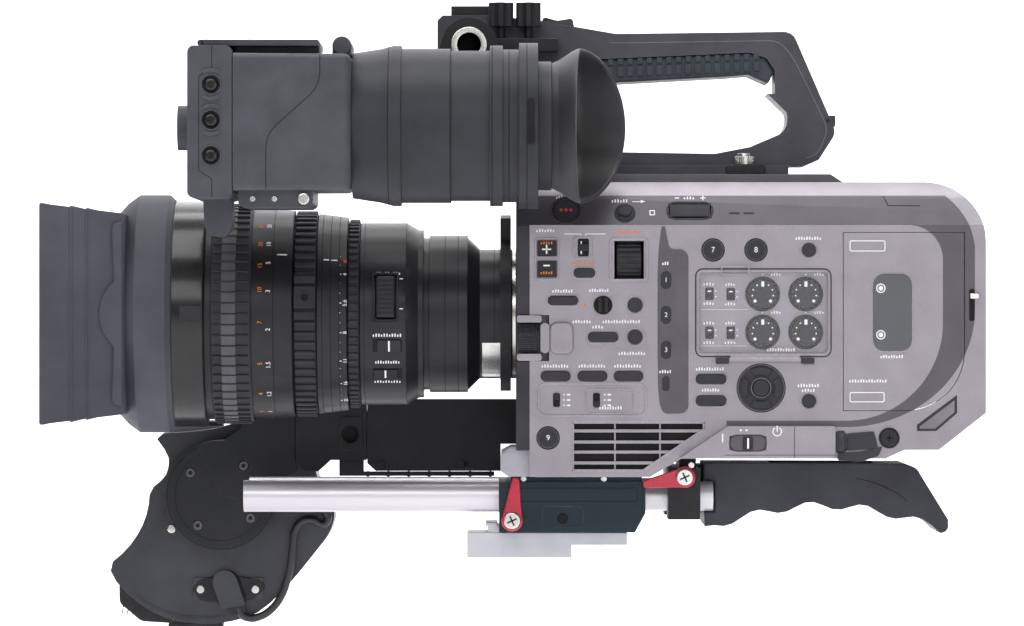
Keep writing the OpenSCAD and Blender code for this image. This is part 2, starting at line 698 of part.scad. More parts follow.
// Cuts the corners of a closed outline for a softer curve
function eased(p) = [for (i = [0 : len(p) - 1]) let (q = p[(i + 1) % len(p)])
    each [p[i] * 0.75 + q * 0.25, p[i] * 0.25 + q * 0.75]];
module grip_outline() {
    polygon(eased(concat(
        [[-180, 57], [-172.7, 46.8], [-172.2, 41.4], [-174.2, 35.5], [-181.6, 29.5], [-182.5, 19.7],
            [-186, 9.8], [-192.9, 0], [-202.3, -8], [-196.9, -18.3], [-184, -29], [-170, -35.4],
            [-152, -37], [-137.1, -34.6], [-126, -30], [-112, -16], [-99.6, -0.6], [-93, 8],
            [-90.3, 17.2], [-92, 27]],
        arc(disc_x, disc_z, 48, 6, 60, 3),
        [[-146, 60], [-160, 58]]
    )));
}
module hand_grip() {
    color("#2b2c30") difference() {
        union() {
            slab(grip_y + 5.7, 110) grip_outline();
            pin_y(disc_x, disc_z, disc_r - 2, grip_y, 72);
        }
        pin_y(disc_x, disc_z, 7.05, grip_y - 1, 75);
    }
    // Cable boot with its flange, and the gland where the cable goes back in
    color("#1e1e20") block([-160, -126], [70, 72], [-24, -14]);
    color("#1e1e20") slab(66.6, 70) polygon(concat(
        arc(-144.5, -16, 6, 20, 200, 8), [[-146, -29], [-134.6, -27]]
    ));
    color("#1e1e20") pin_y(-104, 22, 4, 66.6, 72);
}
module grip_strap() {
    color("#1b1b1d") bar(-174, -147) polygon([
        [96, -37.4], [96, -40], [112, -40], [122, -33], [136, -8], [139, 12], [136, 34], [122, 57],
        [111, 63], [96, 62.8], [96, 60.4], [110.5, 60.4], [120, 54.5], [133.4, 33], [136.4, 12],
        [133.4, -7], [120, -31], [110.5, -37.4]
    ]);
}

// ---- cable of the side grip ----
cable_r = 2;
cable_path = [
    [-137.6, 68.3, -28.6], [-136, 68.3, -32], [-132.5, 68.3, -33.5], [-128, 68.3, -33],
    [-122, 68.3, -29.5], [-117, 68.3, -23], [-114, 68.3, -15], [-112, 68.3, -6], [-111, 68.3, 3],
    [-110, 68.3, 10], [-106.5, 68.4, 14], [-101, 68.6, 14.5], [-97, 68.8, 12.5], [-94.2, 69, 14.2],
    [-94.4, 69, 17.8], [-97.6, 69, 20.2], [-100.2, 69, 21.2]
];
function unit(v) = v / norm(v);
function along(path, i) = unit(path[min(i + 1, len(path) - 1)] - path[max(i - 1, 0)]);
function ring_at(path, i, r, n) = let (
    t = along(path, i), s = unit(cross(t, [0, 1, 0])), u = cross(s, t)
) [for (k = [0 : n - 1]) path[i] + r * (cos(k * 360 / n) * s + sin(k * 360 / n) * u)];
// A tube of n sides along a path
module tube(path, r, n = 8) {
    rings = [for (i = [0 : len(path) - 1]) each ring_at(path, i, r, n)];
    last = (len(path) - 1) * n;
    walls = [for (i = [0 : len(path) - 2], k = [0 : n - 1])
        [i * n + k, i * n + (k + 1) % n, (i + 1) * n + (k + 1) % n, (i + 1) * n + k]];
    polyhedron(rings, concat([[for (k = [n - 1 : -1 : 0]) k]], walls, [[for (k = [0 : n - 1]) last + k]]));
}
module grip_cable() {
    color("#1a1a1c") tube(cable_path, cable_r);
}

chassis();
left_cover();
right_cover();
top_cover();
front_bezel();
lens_mount();
sensor_unit();
main_board();
vent_grille();
battery();
switch_housing();
audio_hinge();
lock_ring();
media_door();
audio_cover();
audio_dial_1();
audio_dial_2();
audio_dial_3();
audio_dial_4();
power_switch();
nd_dial();
menu_dial();
rec_button();
volume_rocker();
pad_key();
key_1();
key_2();
key_3();
lens_barrel();
lens_hood();
lens_glass();
focus_ring();
zoom_ring();
iris_ring();
zoom_rocker();
handle_frame();
handle_grip();
shoe_plate();
clamp_knob_1();
clamp_knob_2();
thumbscrew();
cross_rod();
evf_arm();
lcd_monitor();
lcd_dials();
loupe_box();
loupe_tube();
eyecup();
bridge_plate();
rods();
front_lever();
rear_lever();
rear_clamp();
tripod_plate();
rear_pad();
arm_outer();
arm_inner();
hand_grip();
grip_strap();
grip_cable();
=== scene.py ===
# %% [markdown]
# # A cinema camera rig
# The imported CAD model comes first, as a fixed frame: every piece below is placed by it and moves with
# one of its bodies. All sizes are in millimetres through the MM factor, because the maker's drawings are.

# %% Load the frame
import json
import math
import bmesh
import bpy
from mathutils import Matrix, Vector


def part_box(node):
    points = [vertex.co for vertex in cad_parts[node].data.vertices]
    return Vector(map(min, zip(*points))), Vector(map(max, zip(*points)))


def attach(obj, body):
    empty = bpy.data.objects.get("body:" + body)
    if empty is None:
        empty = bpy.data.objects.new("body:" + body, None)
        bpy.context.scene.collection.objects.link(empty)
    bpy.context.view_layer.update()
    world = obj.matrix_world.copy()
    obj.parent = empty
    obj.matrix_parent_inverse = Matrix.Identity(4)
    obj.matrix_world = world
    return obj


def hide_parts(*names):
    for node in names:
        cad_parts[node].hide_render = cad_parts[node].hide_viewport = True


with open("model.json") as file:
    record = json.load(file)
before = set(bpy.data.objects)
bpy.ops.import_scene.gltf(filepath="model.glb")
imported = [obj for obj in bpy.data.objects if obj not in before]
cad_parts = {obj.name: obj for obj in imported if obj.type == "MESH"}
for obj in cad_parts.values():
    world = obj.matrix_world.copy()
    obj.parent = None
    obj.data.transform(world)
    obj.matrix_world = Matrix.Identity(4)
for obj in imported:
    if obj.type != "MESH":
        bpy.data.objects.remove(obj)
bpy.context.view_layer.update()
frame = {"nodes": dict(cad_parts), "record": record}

MM = 0.001
owner = {node: body for body, nodes in frame["record"]["behaviour"]["bodies"].items() for node in nodes}
slot_of = {row["node"]: row["material_slot"] for row in frame["record"]["subparts"]}

# %% [markdown]
# ## Helpers for meshes
# Every piece ends the same way: doubles merged, faces turned outwards, sharp edges marked by angle, and a
# weighted-normal modifier so that flat faces stay flat between their bevels. One function does it, and the
# shape functions below only have to build a bmesh.

# %% Finish a mesh as a piece
def piece(name, bm, body, finish, replaces=(), sharp=38, outward=True, slot=None):
    bmesh.ops.remove_doubles(bm, verts=bm.verts, dist=2e-6)
    if outward:
        bmesh.ops.recalc_face_normals(bm, faces=bm.faces)
    for face in bm.faces:
        face.smooth = True
    for edge in bm.edges:
        edge.smooth = not (edge.is_manifold and edge.calc_face_angle(0) > math.radians(sharp))
    mesh = bpy.data.meshes.new(name)
    bm.to_mesh(mesh)
    bm.free()
    mesh.materials.append(finish)
    obj = bpy.data.objects.new(name, mesh)
    bpy.context.collection.objects.link(obj)
    even = obj.modifiers.new("even normals", "WEIGHTED_NORMAL")
    even.keep_sharp = True
    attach(obj, body)
    if replaces:
        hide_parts(*replaces)
        slot = slot or slot_of[replaces[0]]
    print(f"{name}: {len(mesh.polygons)} faces on {body}")
    return obj


# %% [markdown]
# A bevel catches the light along an edge, and no moulded or milled part is without one. This one rounds
# every edge that is sharper than a given angle.

# %% Bevel by angle
def soften(bm, width, angle=35, segments=2, edges=None):
    chosen = [e for e in (edges or bm.edges) if e.is_manifold and e.calc_face_angle(0) > math.radians(angle)]
    if chosen and width > 0:
        bmesh.ops.bevel(bm, geom=chosen, offset=width * MM, offset_type="OFFSET", segments=segments,
                        profile=0.5, affect="EDGES", clamp_overlap=True, material=-1)


# %% [markdown]
# ## Shape functions
# Outlines are drawn in X and Z, as the side view is, and pushed along Y. Turned parts are spun round an
# axis along X. Blocks start from a cube. Each returns a bmesh that can be joined to others.

# %% Blocks, slabs and turned shapes
def block(x, y, z, width=0.3, segments=2, bm=None):
    part = bmesh.new()
    centre = Vector(((x[0] + x[1]) / 2, (y[0] + y[1]) / 2, (z[0] + z[1]) / 2)) * MM
    size = Vector((x[1] - x[0], y[1] - y[0], z[1] - z[0])) * MM
    bmesh.ops.create_cube(part, size=1, matrix=Matrix.Translation(centre) @ Matrix.Diagonal((*size, 1)))
    soften(part, width, segments=segments)
    return join(bm, part)


def join(bm, part):
    if bm is None:
        return part
    mesh = bpy.data.meshes.new("joined")
    part.to_mesh(mesh)
    bm.from_mesh(mesh)
    part.free()
    bpy.data.meshes.remove(mesh)
    return bm


def slab(outline, y0, y1, width=0.3, segments=2, bm=None, place=None):
    """An outline of (x, z) points pushed from depth y0 to y1, with its rims rounded."""
    part = bmesh.new()
    ring = [part.verts.new((x * MM, y0 * MM, z * MM)) for x, z in outline]
    part.faces.new(ring)
    made = bmesh.ops.extrude_face_region(part, geom=part.faces[:])
    moved = [v for v in made["geom"] if isinstance(v, bmesh.types.BMVert)]
    bmesh.ops.translate(part, verts=moved, vec=(0, (y1 - y0) * MM, 0))
    bmesh.ops.recalc_face_normals(part, faces=part.faces)
    soften(part, width, angle=50, segments=segments)
    if place is not None:
        bmesh.ops.transform(part, matrix=place, verts=part.verts)
    return join(bm, part)


def turned(profile, y=0, z=116, steps=128, bm=None, close=True, place=None):
    """A profile of (x, radius) points spun round an axis along X."""
    part = bmesh.new()
    verts = [part.verts.new((x * MM, 0, r * MM)) for x, r in profile]
    edges = [part.edges.new(pair) for pair in zip(verts, verts[1:])]
    if close:
        edges.append(part.edges.new((verts[-1], verts[0])))
    bmesh.ops.spin(part, geom=verts + edges, cent=(0, 0, 0), axis=(1, 0, 0), angle=math.tau, steps=steps,
                   use_merge=True)
    bmesh.ops.remove_doubles(part, verts=part.verts, dist=1e-6)
    bmesh.ops.recalc_face_normals(part, faces=part.faces)
    bmesh.ops.translate(part, verts=part.verts, vec=(0, y * MM, z * MM))
    if place is not None:
        bmesh.ops.transform(part, matrix=place, verts=part.verts)
    return join(bm, part)


def disc(x, z, r, y0, y1, width=0.3, steps=48, bm=None, place=None):
    """A round button or pin along Y, its outer edge rounded."""
    ring = [(x + r * math.cos(a * math.tau / steps), z + r * math.sin(a * math.tau / steps))
            for a in range(steps)]
    return slab(ring, y0, y1, width, bm=bm, place=place)


# %% [markdown]
# Outlines are lists of points in X and Z. Arcs, rounded boxes and rounded corners are worked out, so an
# outline in the pieces below has only the corners that its shape needs.

# %% Outlines
def arc(cx, cz, r, a0, a1, n=8):
    return [(cx + r * math.cos(math.radians(a0 + (a1 - a0) * i / n)),
             cz + r * math.sin(math.radians(a0 + (a1 - a0) * i / n))) for i in range(n + 1)]


def round_rect(x0, x1, z0, z1, r, n=6):
    return (arc(x1 - r, z1 - r, r, 90, 0, n) + arc(x1 - r, z0 + r, r, 0, -90, n)
            + arc(x0 + r, z0 + r, r, -90, -180, n) + arc(x0 + r, z1 - r, r, 180, 90, n))


def rounded(points, r, n=6):
    """A polygon with each corner replaced by a short curve of about radius r."""
    out = []
    for i, corner in enumerate(points):
        c = Vector(corner)
        a = Vector(points[i - 1]) - c
        b = Vector(points[(i + 1) % len(points)]) - c
        reach = min(r, a.length * 0.45, b.length * 0.45)
        p, q = c + a.normalized() * reach, c + b.normalized() * reach
        for k in range(n + 1):
            t = k / n
            out.append(tuple(p * (1 - t) ** 2 + c * 2 * t * (1 - t) + q * t ** 2))
    return out


# %% [markdown]
# Where the CAD shape is already right, the piece is a copy of it: merged, its flat faces joined again, and
# its edges rounded. That keeps every size and hole from the drawing.

# %% Refined copies of CAD parts
def refined(node, finish, width=0.4, angle=35, segments=2, sharp=38):
    bm = bmesh.new()
    bm.from_mesh(frame["nodes"][node].data)
    bmesh.ops.remove_doubles(bm, verts=bm.verts, dist=2e-6)
    bmesh.ops.dissolve_limit(bm, angle_limit=math.radians(0.5), verts=bm.verts, edges=bm.edges)
    soften(bm, width, angle, segments)
    return piece(node + "_skin", bm, owner[node], finish, replaces=(node,), sharp=sharp)


# %% [markdown]
# ## Finishes
# One function builds a paint, plastic, rubber or metal from a few facts: two tones that drift into each
# other, a grain that roughens and dents the surface, and specks such as metal flakes or pits. Everything
# reads Object coordinates, so the pattern stays on the piece when it moves.

# %% The finish builder
def tone(hex_code):
    """A colour from its hex code, made linear as the shader wants it."""
    parts = [int(hex_code[i:i + 2], 16) / 255 for i in (1, 3, 5)]
    return (*[c / 12.92 if c <= 0.04045 else ((c + 0.055) / 1.055) ** 2.4 for c in parts], 1)


def finish(name, dark, light, rough=0.5, spread=0.08, metal=0.0, drift=18, grain=0.35, bump=0.25,
           speck=None, stretch=(1, 1, 1), coat=0.0, worn=None, sheen=0.0, ior=1.5, bumps_mm=0.05, spec=0.5):
    mat = bpy.data.materials.new(name)
    mat.use_nodes = True
    tree = mat.node_tree
    shader = tree.nodes["Principled BSDF"]
    add = lambda kind: tree.nodes.new(kind)
    link = lambda a, b: tree.links.new(a, b)
    place = add("ShaderNodeTexCoord")
    mapping = add("ShaderNodeMapping")
    mapping.inputs["Scale"].default_value = stretch
    link(place.outputs["Object"], mapping.inputs["Vector"])

    def noise(size_mm, detail=4, rough_noise=0.6):
        node = add("ShaderNodeTexNoise")
        node.inputs["Scale"].default_value = 1000 / size_mm
        node.inputs["Detail"].default_value = detail
        node.inputs["Roughness"].default_value = rough_noise
        link(mapping.outputs["Vector"], node.inputs["Vector"])
        return node

    def mix(factor, a, b):
        node = add("ShaderNodeMix")
        node.data_type = "RGBA"
        link(factor, node.inputs["Factor"])
        for value, socket in ((a, node.inputs["A"]), (b, node.inputs["B"])):
            if isinstance(value, tuple):
                socket.default_value = value
            else:
                link(value, socket)
        return node.outputs["Result"]

    def band(value, low, high, to_low=0.0, to_high=1.0):
        node = add("ShaderNodeMapRange")
        for key, number in (("From Min", low), ("From Max", high), ("To Min", to_low), ("To Max", to_high)):
            node.inputs[key].default_value = number
        link(value, node.inputs["Value"])
        return node.outputs["Result"]

    slow, fine = noise(drift), noise(grain, 6, 0.7)
    colour = mix(band(slow.outputs["Fac"], 0.3, 0.7), tone(dark), tone(light))
    if speck:
        size, speck_tone, amount = speck
        flecks = add("ShaderNodeTexVoronoi")
        flecks.inputs["Scale"].default_value = 1000 / size
        link(mapping.outputs["Vector"], flecks.inputs["Vector"])
        colour = mix(band(flecks.outputs["Distance"], amount, amount * 0.5), colour, tone(speck_tone))
    if worn:
        edge = add("ShaderNodeBevel")
        edge.samples = 4
        edge.inputs["Radius"].default_value = 0.5 * MM
        flat = add("ShaderNodeNewGeometry")
        same = add("ShaderNodeVectorMath")
        same.operation = "DOT_PRODUCT"
        link(edge.outputs["Normal"], same.inputs[0])
        link(flat.outputs["Normal"], same.inputs[1])
        patchy = add("ShaderNodeMath")
        patchy.operation = "MULTIPLY"
        link(band(same.outputs["Value"], 0.995, 0.9), patchy.inputs[0])
        link(band(noise(1.3).outputs["Fac"], 0.4, 0.75), patchy.inputs[1])
        colour = mix(patchy.outputs["Value"], colour, tone(worn))
    link(colour, shader.inputs["Base Color"])
    link(band(fine.outputs["Fac"], 0.3, 0.7, rough - spread, rough + spread), shader.inputs["Roughness"])
    dents = add("ShaderNodeBump")
    dents.inputs["Strength"].default_value = bump
    dents.inputs["Distance"].default_value = bumps_mm * MM
    link(fine.outputs["Fac"], dents.inputs["Height"])
    link(dents.outputs["Normal"], shader.inputs["Normal"])
    shader.inputs["Metallic"].default_value = metal
    shader.inputs["IOR"].default_value = ior
    shader.inputs["Coat Weight"].default_value = coat
    shader.inputs["Coat Roughness"].default_value = 0.12
    shader.inputs["Sheen Weight"].default_value = sheen
    shader.inputs["Specular IOR Level"].default_value = spec
    return mat


# %% [markdown]
# The finishes are named for the parts that wear them. Metallic paint gets flakes, moulded plastic a fine
# grain, anodised metal a stretched drift, and parts that are handled get pale wear along their edges.

# %% The rig's own finishes
SHELL = finish("shell paint", "#858087", "#918c93", 0.4, metal=0.45, grain=0.3, bump=0.3,
               speck=(0.55, "#b4afb7", 0.16), worn="#c4c0c6")
BAND = finish("dark band paint", "#48464b", "#535056", 0.42, metal=0.35, grain=0.3, bump=0.3,
              speck=(0.6, "#807b84", 0.14), worn="#85808a")
TRIM = finish("dark trim", "#2f2e32", "#39383c", 0.55, grain=0.4, bump=0.4, worn="#4b4a50", spec=0.2)
CHIN = finish("silver chin paint", "#8e8c93", "#a09ea5", 0.38, metal=0.5, grain=0.5, bump=0.5,
              speck=(0.8, "#c7c5cc", 0.2))
KEY = finish("key rubber", "#2a2a2d", "#343338", 0.5, grain=0.5, bump=0.2, spec=0.2)
KNOB = finish("knob plastic", "#1e1e21", "#29292d", 0.36, grain=0.4, bump=0.2, worn="#4a4a50", spec=0.2)
BLACK = finish("speckled black paint", "#1e1f21", "#27282b", 0.42, grain=0.5, bump=0.5,
               speck=(0.9, "#0c0c0d", 0.2), worn="#5a5a60", spec=0.2)
HANDLE = finish("handle paint", "#3c3c41", "#48484e", 0.4, grain=0.45, bump=0.5,
                speck=(0.9, "#1a1a1c", 0.16), worn="#77777d", spec=0.2)
LENS = finish("lens satin black", "#1b1b1e", "#252528", 0.36, metal=0.2, grain=0.35, bump=0.12, spec=0.3)
GLOSS = finish("lens gloss black", "#111113", "#18181a", 0.24, coat=0.2, grain=0.6, bump=0.04, spec=0.3)
RING = finish("ring rubber", "#26262a", "#303035", 0.55, grain=0.4, bump=0.3, spec=0.2)
HOOD = finish("hood plastic", "#3c3d43", "#4a4b52", 0.6, drift=40, grain=0.35, bump=0.35, worn="#5c5d64",
              spec=0.2)
MONITOR = finish("monitor plastic", "#3d3e43", "#4a4b51", 0.46, grain=0.35, bump=0.35, worn="#5d5e64",
                 spec=0.2)
LOUPE = finish("loupe plastic", "#28292c", "#333438", 0.45, drift=30, grain=0.4, bump=0.25, spec=0.2)
EYE = finish("eyecup rubber", "#1a1a1d", "#232427", 0.45, grain=0.5, bump=0.2, sheen=0.1, spec=0.4)
SLEEVE = finish("grip sleeve rubber", "#2f353b", "#3a4148", 0.52, grain=0.4, bump=0.3, sheen=0.1, spec=0.2)
PAD = finish("pad rubber", "#2e2f34", "#3d3e45", 0.5, drift=25, grain=0.6, bump=0.5, sheen=0.15, spec=0.2)
GRIP = finish("side grip plastic", "#2b2c30", "#3b3c41", 0.38, drift=25, grain=0.4, bump=0.3, worn="#55565c",
              spec=0.35)
BLUE = finish("blue-black anodising", "#1a2229", "#232d36", 0.34, metal=0.7, grain=0.6, bump=0.25,
              stretch=(0.12, 1, 1), worn="#596773")
ROD = finish("satin rod metal", "#b9b6bd", "#cbc8ce", 0.36, metal=0.7, grain=0.5, bump=0.12,
             stretch=(0.05, 1, 1))
PLATE = finish("blasted aluminium", "#b0b0b7", "#c0c0c6", 0.42, metal=0.55, grain=0.35, bump=0.3,
               worn="#e2e2e6")
STEEL = finish("bright steel", "#b9b7b3", "#d6d4d0", 0.24, metal=1.0, grain=0.5, bump=0.15)
RED = finish("red anodising", "#a01a32", "#b3243c", 0.3, metal=0.35, grain=0.6, bump=0.12, coat=0.3,
             worn="#e06a78")
WHITE = finish("white print", "#d9d8dc", "#e6e5e8", 0.5, grain=0.5, bump=0.02)
ORANGE = finish("orange print", "#c25f25", "#d5702c", 0.5, grain=0.5, bump=0.02)
REDPRINT = finish("red print", "#b03030", "#bf3a38", 0.5, grain=0.5, bump=0.02)
DARKFILL = finish("recess black", "#0d0d0f", "#141416", 0.6, grain=0.5, bump=0.2, spec=0.2)
BOARD = finish("circuit board", "#14452b", "#1d5a38", 0.4, grain=0.8, bump=0.3, speck=(2.2, "#b8b39a", 0.1))
print(len(bpy.data.materials), "finishes")

# %% [markdown]
# ## Camera, light and stage
# The camera stands square to the operator's side at the height of the lens, far enough back for the long
# lens of a product picture. Large soft lights above and in front give the long highlights on the barrels.

# %% The camera
view = bpy.data.cameras.new("product view")
view.lens = 207.3
view.sensor_width = 36
view.clip_end = 50
camera = bpy.data.objects.new("product view", view)
VIEW_FROM = Vector((-3.4, -2830, 116.4)) * MM
camera.location = VIEW_FROM
camera.rotation_euler = (math.radians(90), 0, 0)
bpy.context.collection.objects.link(camera)
bpy.context.scene.camera = camera
bpy.context.scene.view_settings.view_transform = "Standard"
print("lens", view.lens, "mm at", camera.location[1], "m")

# %% [markdown]
# The floor curves up into a backdrop and glows a little, as a lit sweep in a studio does, so it stays
# white while the lights on the rig are kept low enough to show its greys.

# %% Floor and lights
floor_mat = finish("pale floor", "#f4f4f6", "#f8f8fa", 0.9, bump=0.0)
floor_mat.node_tree.nodes["Principled BSDF"].inputs["Emission Color"].default_value = (1, 1, 1, 1)
floor_mat.node_tree.nodes["Principled BSDF"].inputs["Emission Strength"].default_value = 0.5
sweep = bmesh.new()
low, reach = -0.16, 3.4
path = [(-6, low), (1.6, low)] + [(1.6 + 0.9 * math.sin(a), low + 0.9 - 0.9 * math.cos(a))
                                  for a in (i * math.pi / 16 for i in range(1, 9))] + [(2.5, 4.5)]
line = [sweep.verts.new((-reach, y, z)) for y, z in path]
edges = [sweep.edges.new(pair) for pair in zip(line, line[1:])]
made = bmesh.ops.extrude_edge_only(sweep, edges=edges)
bmesh.ops.translate(sweep, verts=[v for v in made["geom"] if isinstance(v, bmesh.types.BMVert)],
                    vec=(2 * reach, 0, 0))
bmesh.ops.recalc_face_normals(sweep, faces=sweep.faces)
floor_mesh = bpy.data.meshes.new("floor")
sweep.to_mesh(floor_mesh)
sweep.free()
floor_mesh.materials.append(floor_mat)
for face in floor_mesh.polygons:
    face.use_smooth = True
floor = bpy.data.objects.new("floor", floor_mesh)
bpy.context.collection.objects.link(floor)


def soft_light(name, place, target, width, height, watts):
    lamp = bpy.data.lights.new(name, "AREA")
    lamp.shape, lamp.size, lamp.size_y, lamp.energy = "RECTANGLE", width, height, watts
    obj = bpy.data.objects.new(name, lamp)
    obj.location = place
    obj.rotation_euler = (Vector(target) - Vector(place)).to_track_quat("-Z", "Y").to_euler()
    bpy.context.collection.objects.link(obj)


soft_light("overhead box", (0.0, -0.35, 1.5), (0, 0, 0.1), 1.8, 0.9, 24)
soft_light("front box", (-0.5, -2.2, 1.1), (0, 0, 0.1), 1.6, 0.8, 15)
soft_light("low fill", (0.6, -2.2, -0.1 + 0.3), (0, 0, 0.1), 1.2, 0.5, 4)
soft_light("back wash", (0.0, 1.2, 2.2), (0, 2.4, 0.4), 3.0, 1.2, 55)
world = bpy.data.worlds.new("studio")
world.use_nodes = True
world.node_tree.nodes["Background"].inputs["Color"].default_value = (1, 1, 1, 1)
world.node_tree.nodes["Background"].inputs["Strength"].default_value = 0.26
bpy.context.scene.world = world
print("stage ready")

# %% [markdown]
# ## The side grip's cable
# The lead is 4 mm thick and about 90 mm long: out of the boot, up the back of the grip, one small loop,
# and back in at the gland. It follows the same points as its CAD solid, as a smooth curve.

# %% The lead
CABLE_ROUTE = [
    (-137.6, 68.3, -28.6), (-136, 68.3, -32), (-132.5, 68.3, -33.5), (-128, 68.3, -33), (-122, 68.3, -29.5),
    (-117, 68.3, -23), (-114, 68.3, -15), (-112, 68.3, -6), (-111, 68.3, 3), (-110, 68.3, 10),
    (-106.5, 68.4, 14), (-101, 68.6, 14.5), (-97, 68.8, 12.5), (-94.2, 69, 14.2), (-94.4, 69, 17.8),
    (-97.6, 69, 20.2), (-100.2, 69, 21.2),
]
CABLE_SKIN = finish("cable skin", "#1b1b1e", "#242427", 0.42, grain=0.6, bump=0.15)
cable_curve = bpy.data.curves.new("grip_lead", "CURVE")
cable_curve.dimensions = "3D"
cable_curve.bevel_depth = 1.95 * MM
cable_curve.bevel_resolution = 5
cable_curve.resolution_u = 6
cable_curve.use_fill_caps = True
spline = cable_curve.splines.new("BEZIER")
spline.bezier_points.add(len(CABLE_ROUTE) - 1)
for point, place in zip(spline.bezier_points, CABLE_ROUTE):
    point.co = Vector(place) * MM
    point.handle_left_type = point.handle_right_type = "AUTO"
cable_curve.materials.append(CABLE_SKIN)
cable = bpy.data.objects.new("grip_lead", cable_curve)
bpy.context.collection.objects.link(cable)
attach(cable, "side_grip")
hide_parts("grip_cable")

# %% [markdown]
# ## Printed marks and small shapes
# A camera's controls are marked with thin print. Here each mark is a sliver of a solid, a tenth of a
# millimetre proud, so that it stays crisp from close by. Words are left as rows of plain ticks, and only
# numbers are set as type.

# %% Strokes, rings, ticks and numbers
SIDE = -70
PRINT = 0.14


def stroke(p, q, w=0.5):
    a, b = Vector(p), Vector(q)
    across = (b - a).normalized().orthogonal() * w / 2
    return [tuple(a - across), tuple(b - across), tuple(b + across), tuple(a + across)]


def ring(outer, inner, y0, y1, width=0.0, bm=None, place=None):
    """A flat ring between two outlines with the same number of points."""
    part = bmesh.new()
    loops = [[part.verts.new((x * MM, y0 * MM, z * MM)) for x, z in line] for line in (outer, inner)]
    for i in range(len(outer)):
        part.faces.new((loops[0][i - 1], loops[0][i], loops[1][i], loops[1][i - 1]))
    made = bmesh.ops.extrude_face_region(part, geom=part.faces[:])
    moved = [v for v in made["geom"] if isinstance(v, bmesh.types.BMVert)]
    bmesh.ops.translate(part, verts=moved, vec=(0, (y1 - y0) * MM, 0))
    bmesh.ops.recalc_face_normals(part, faces=part.faces)
    soften(part, width, angle=50)
    if place is not None:
        bmesh.ops.transform(part, matrix=place, verts=part.verts)
    return join(bm, part)


def rim(x0, x1, z0, z1, r, w, y0, y1, width=0.0, bm=None, place=None):
    return ring(round_rect(x0, x1, z0, z1, r), round_rect(x0 + w, x1 - w, z0 + w, z1 - w, max(r - w, 0.05)),
                y0, y1, width, bm, place)


def round_rim(x, z, r, w, y0, y1, width=0.0, bm=None, place=None, steps=48):
    return ring(arc(x, z, r, 0, 360 - 360 / steps, steps - 1),
                arc(x, z, r - w, 0, 360 - 360 / steps, steps - 1),
                y0, y1, width, bm, place)


def tick_row(x, z, length, bm, height=1.5, face=SIDE, place=None):
    """Plain ticks where the real camera has a word."""
    count = max(2, round(length / 1.25))
    for i in range(count):
        left = x - length / 2 + i * length / count
        tall = height * (1.0 if i % 3 else 0.72)
        slab([(left, z - height / 2), (left + 0.62, z - height / 2), (left + 0.62, z - height / 2 + tall),
              (left, z - height / 2 + tall)], face - PRINT, face + 0.1, 0, bm=bm, place=place)


def numeral(text, size, place, bm):
    curve = bpy.data.curves.new("numeral", "FONT")
    curve.body, curve.size, curve.extrude = text, size * MM, 0.08 * MM
    curve.align_x, curve.align_y = "CENTER", "CENTER"
    obj = bpy.data.objects.new("numeral", curve)
    mesh = bpy.data.meshes.new_from_object(obj)
    mesh.transform(place)
    bm.from_mesh(mesh)
    bpy.data.objects.remove(obj)
    bpy.data.curves.remove(curve)
    bpy.data.meshes.remove(mesh)


def facing(x, y, z):
    """Puts type on a surface that faces the operator."""
    return Matrix.Translation(Vector((x, y, z)) * MM) @ Matrix.Rotation(math.radians(90), 4, "X")


print("marks are", PRINT, "mm proud")
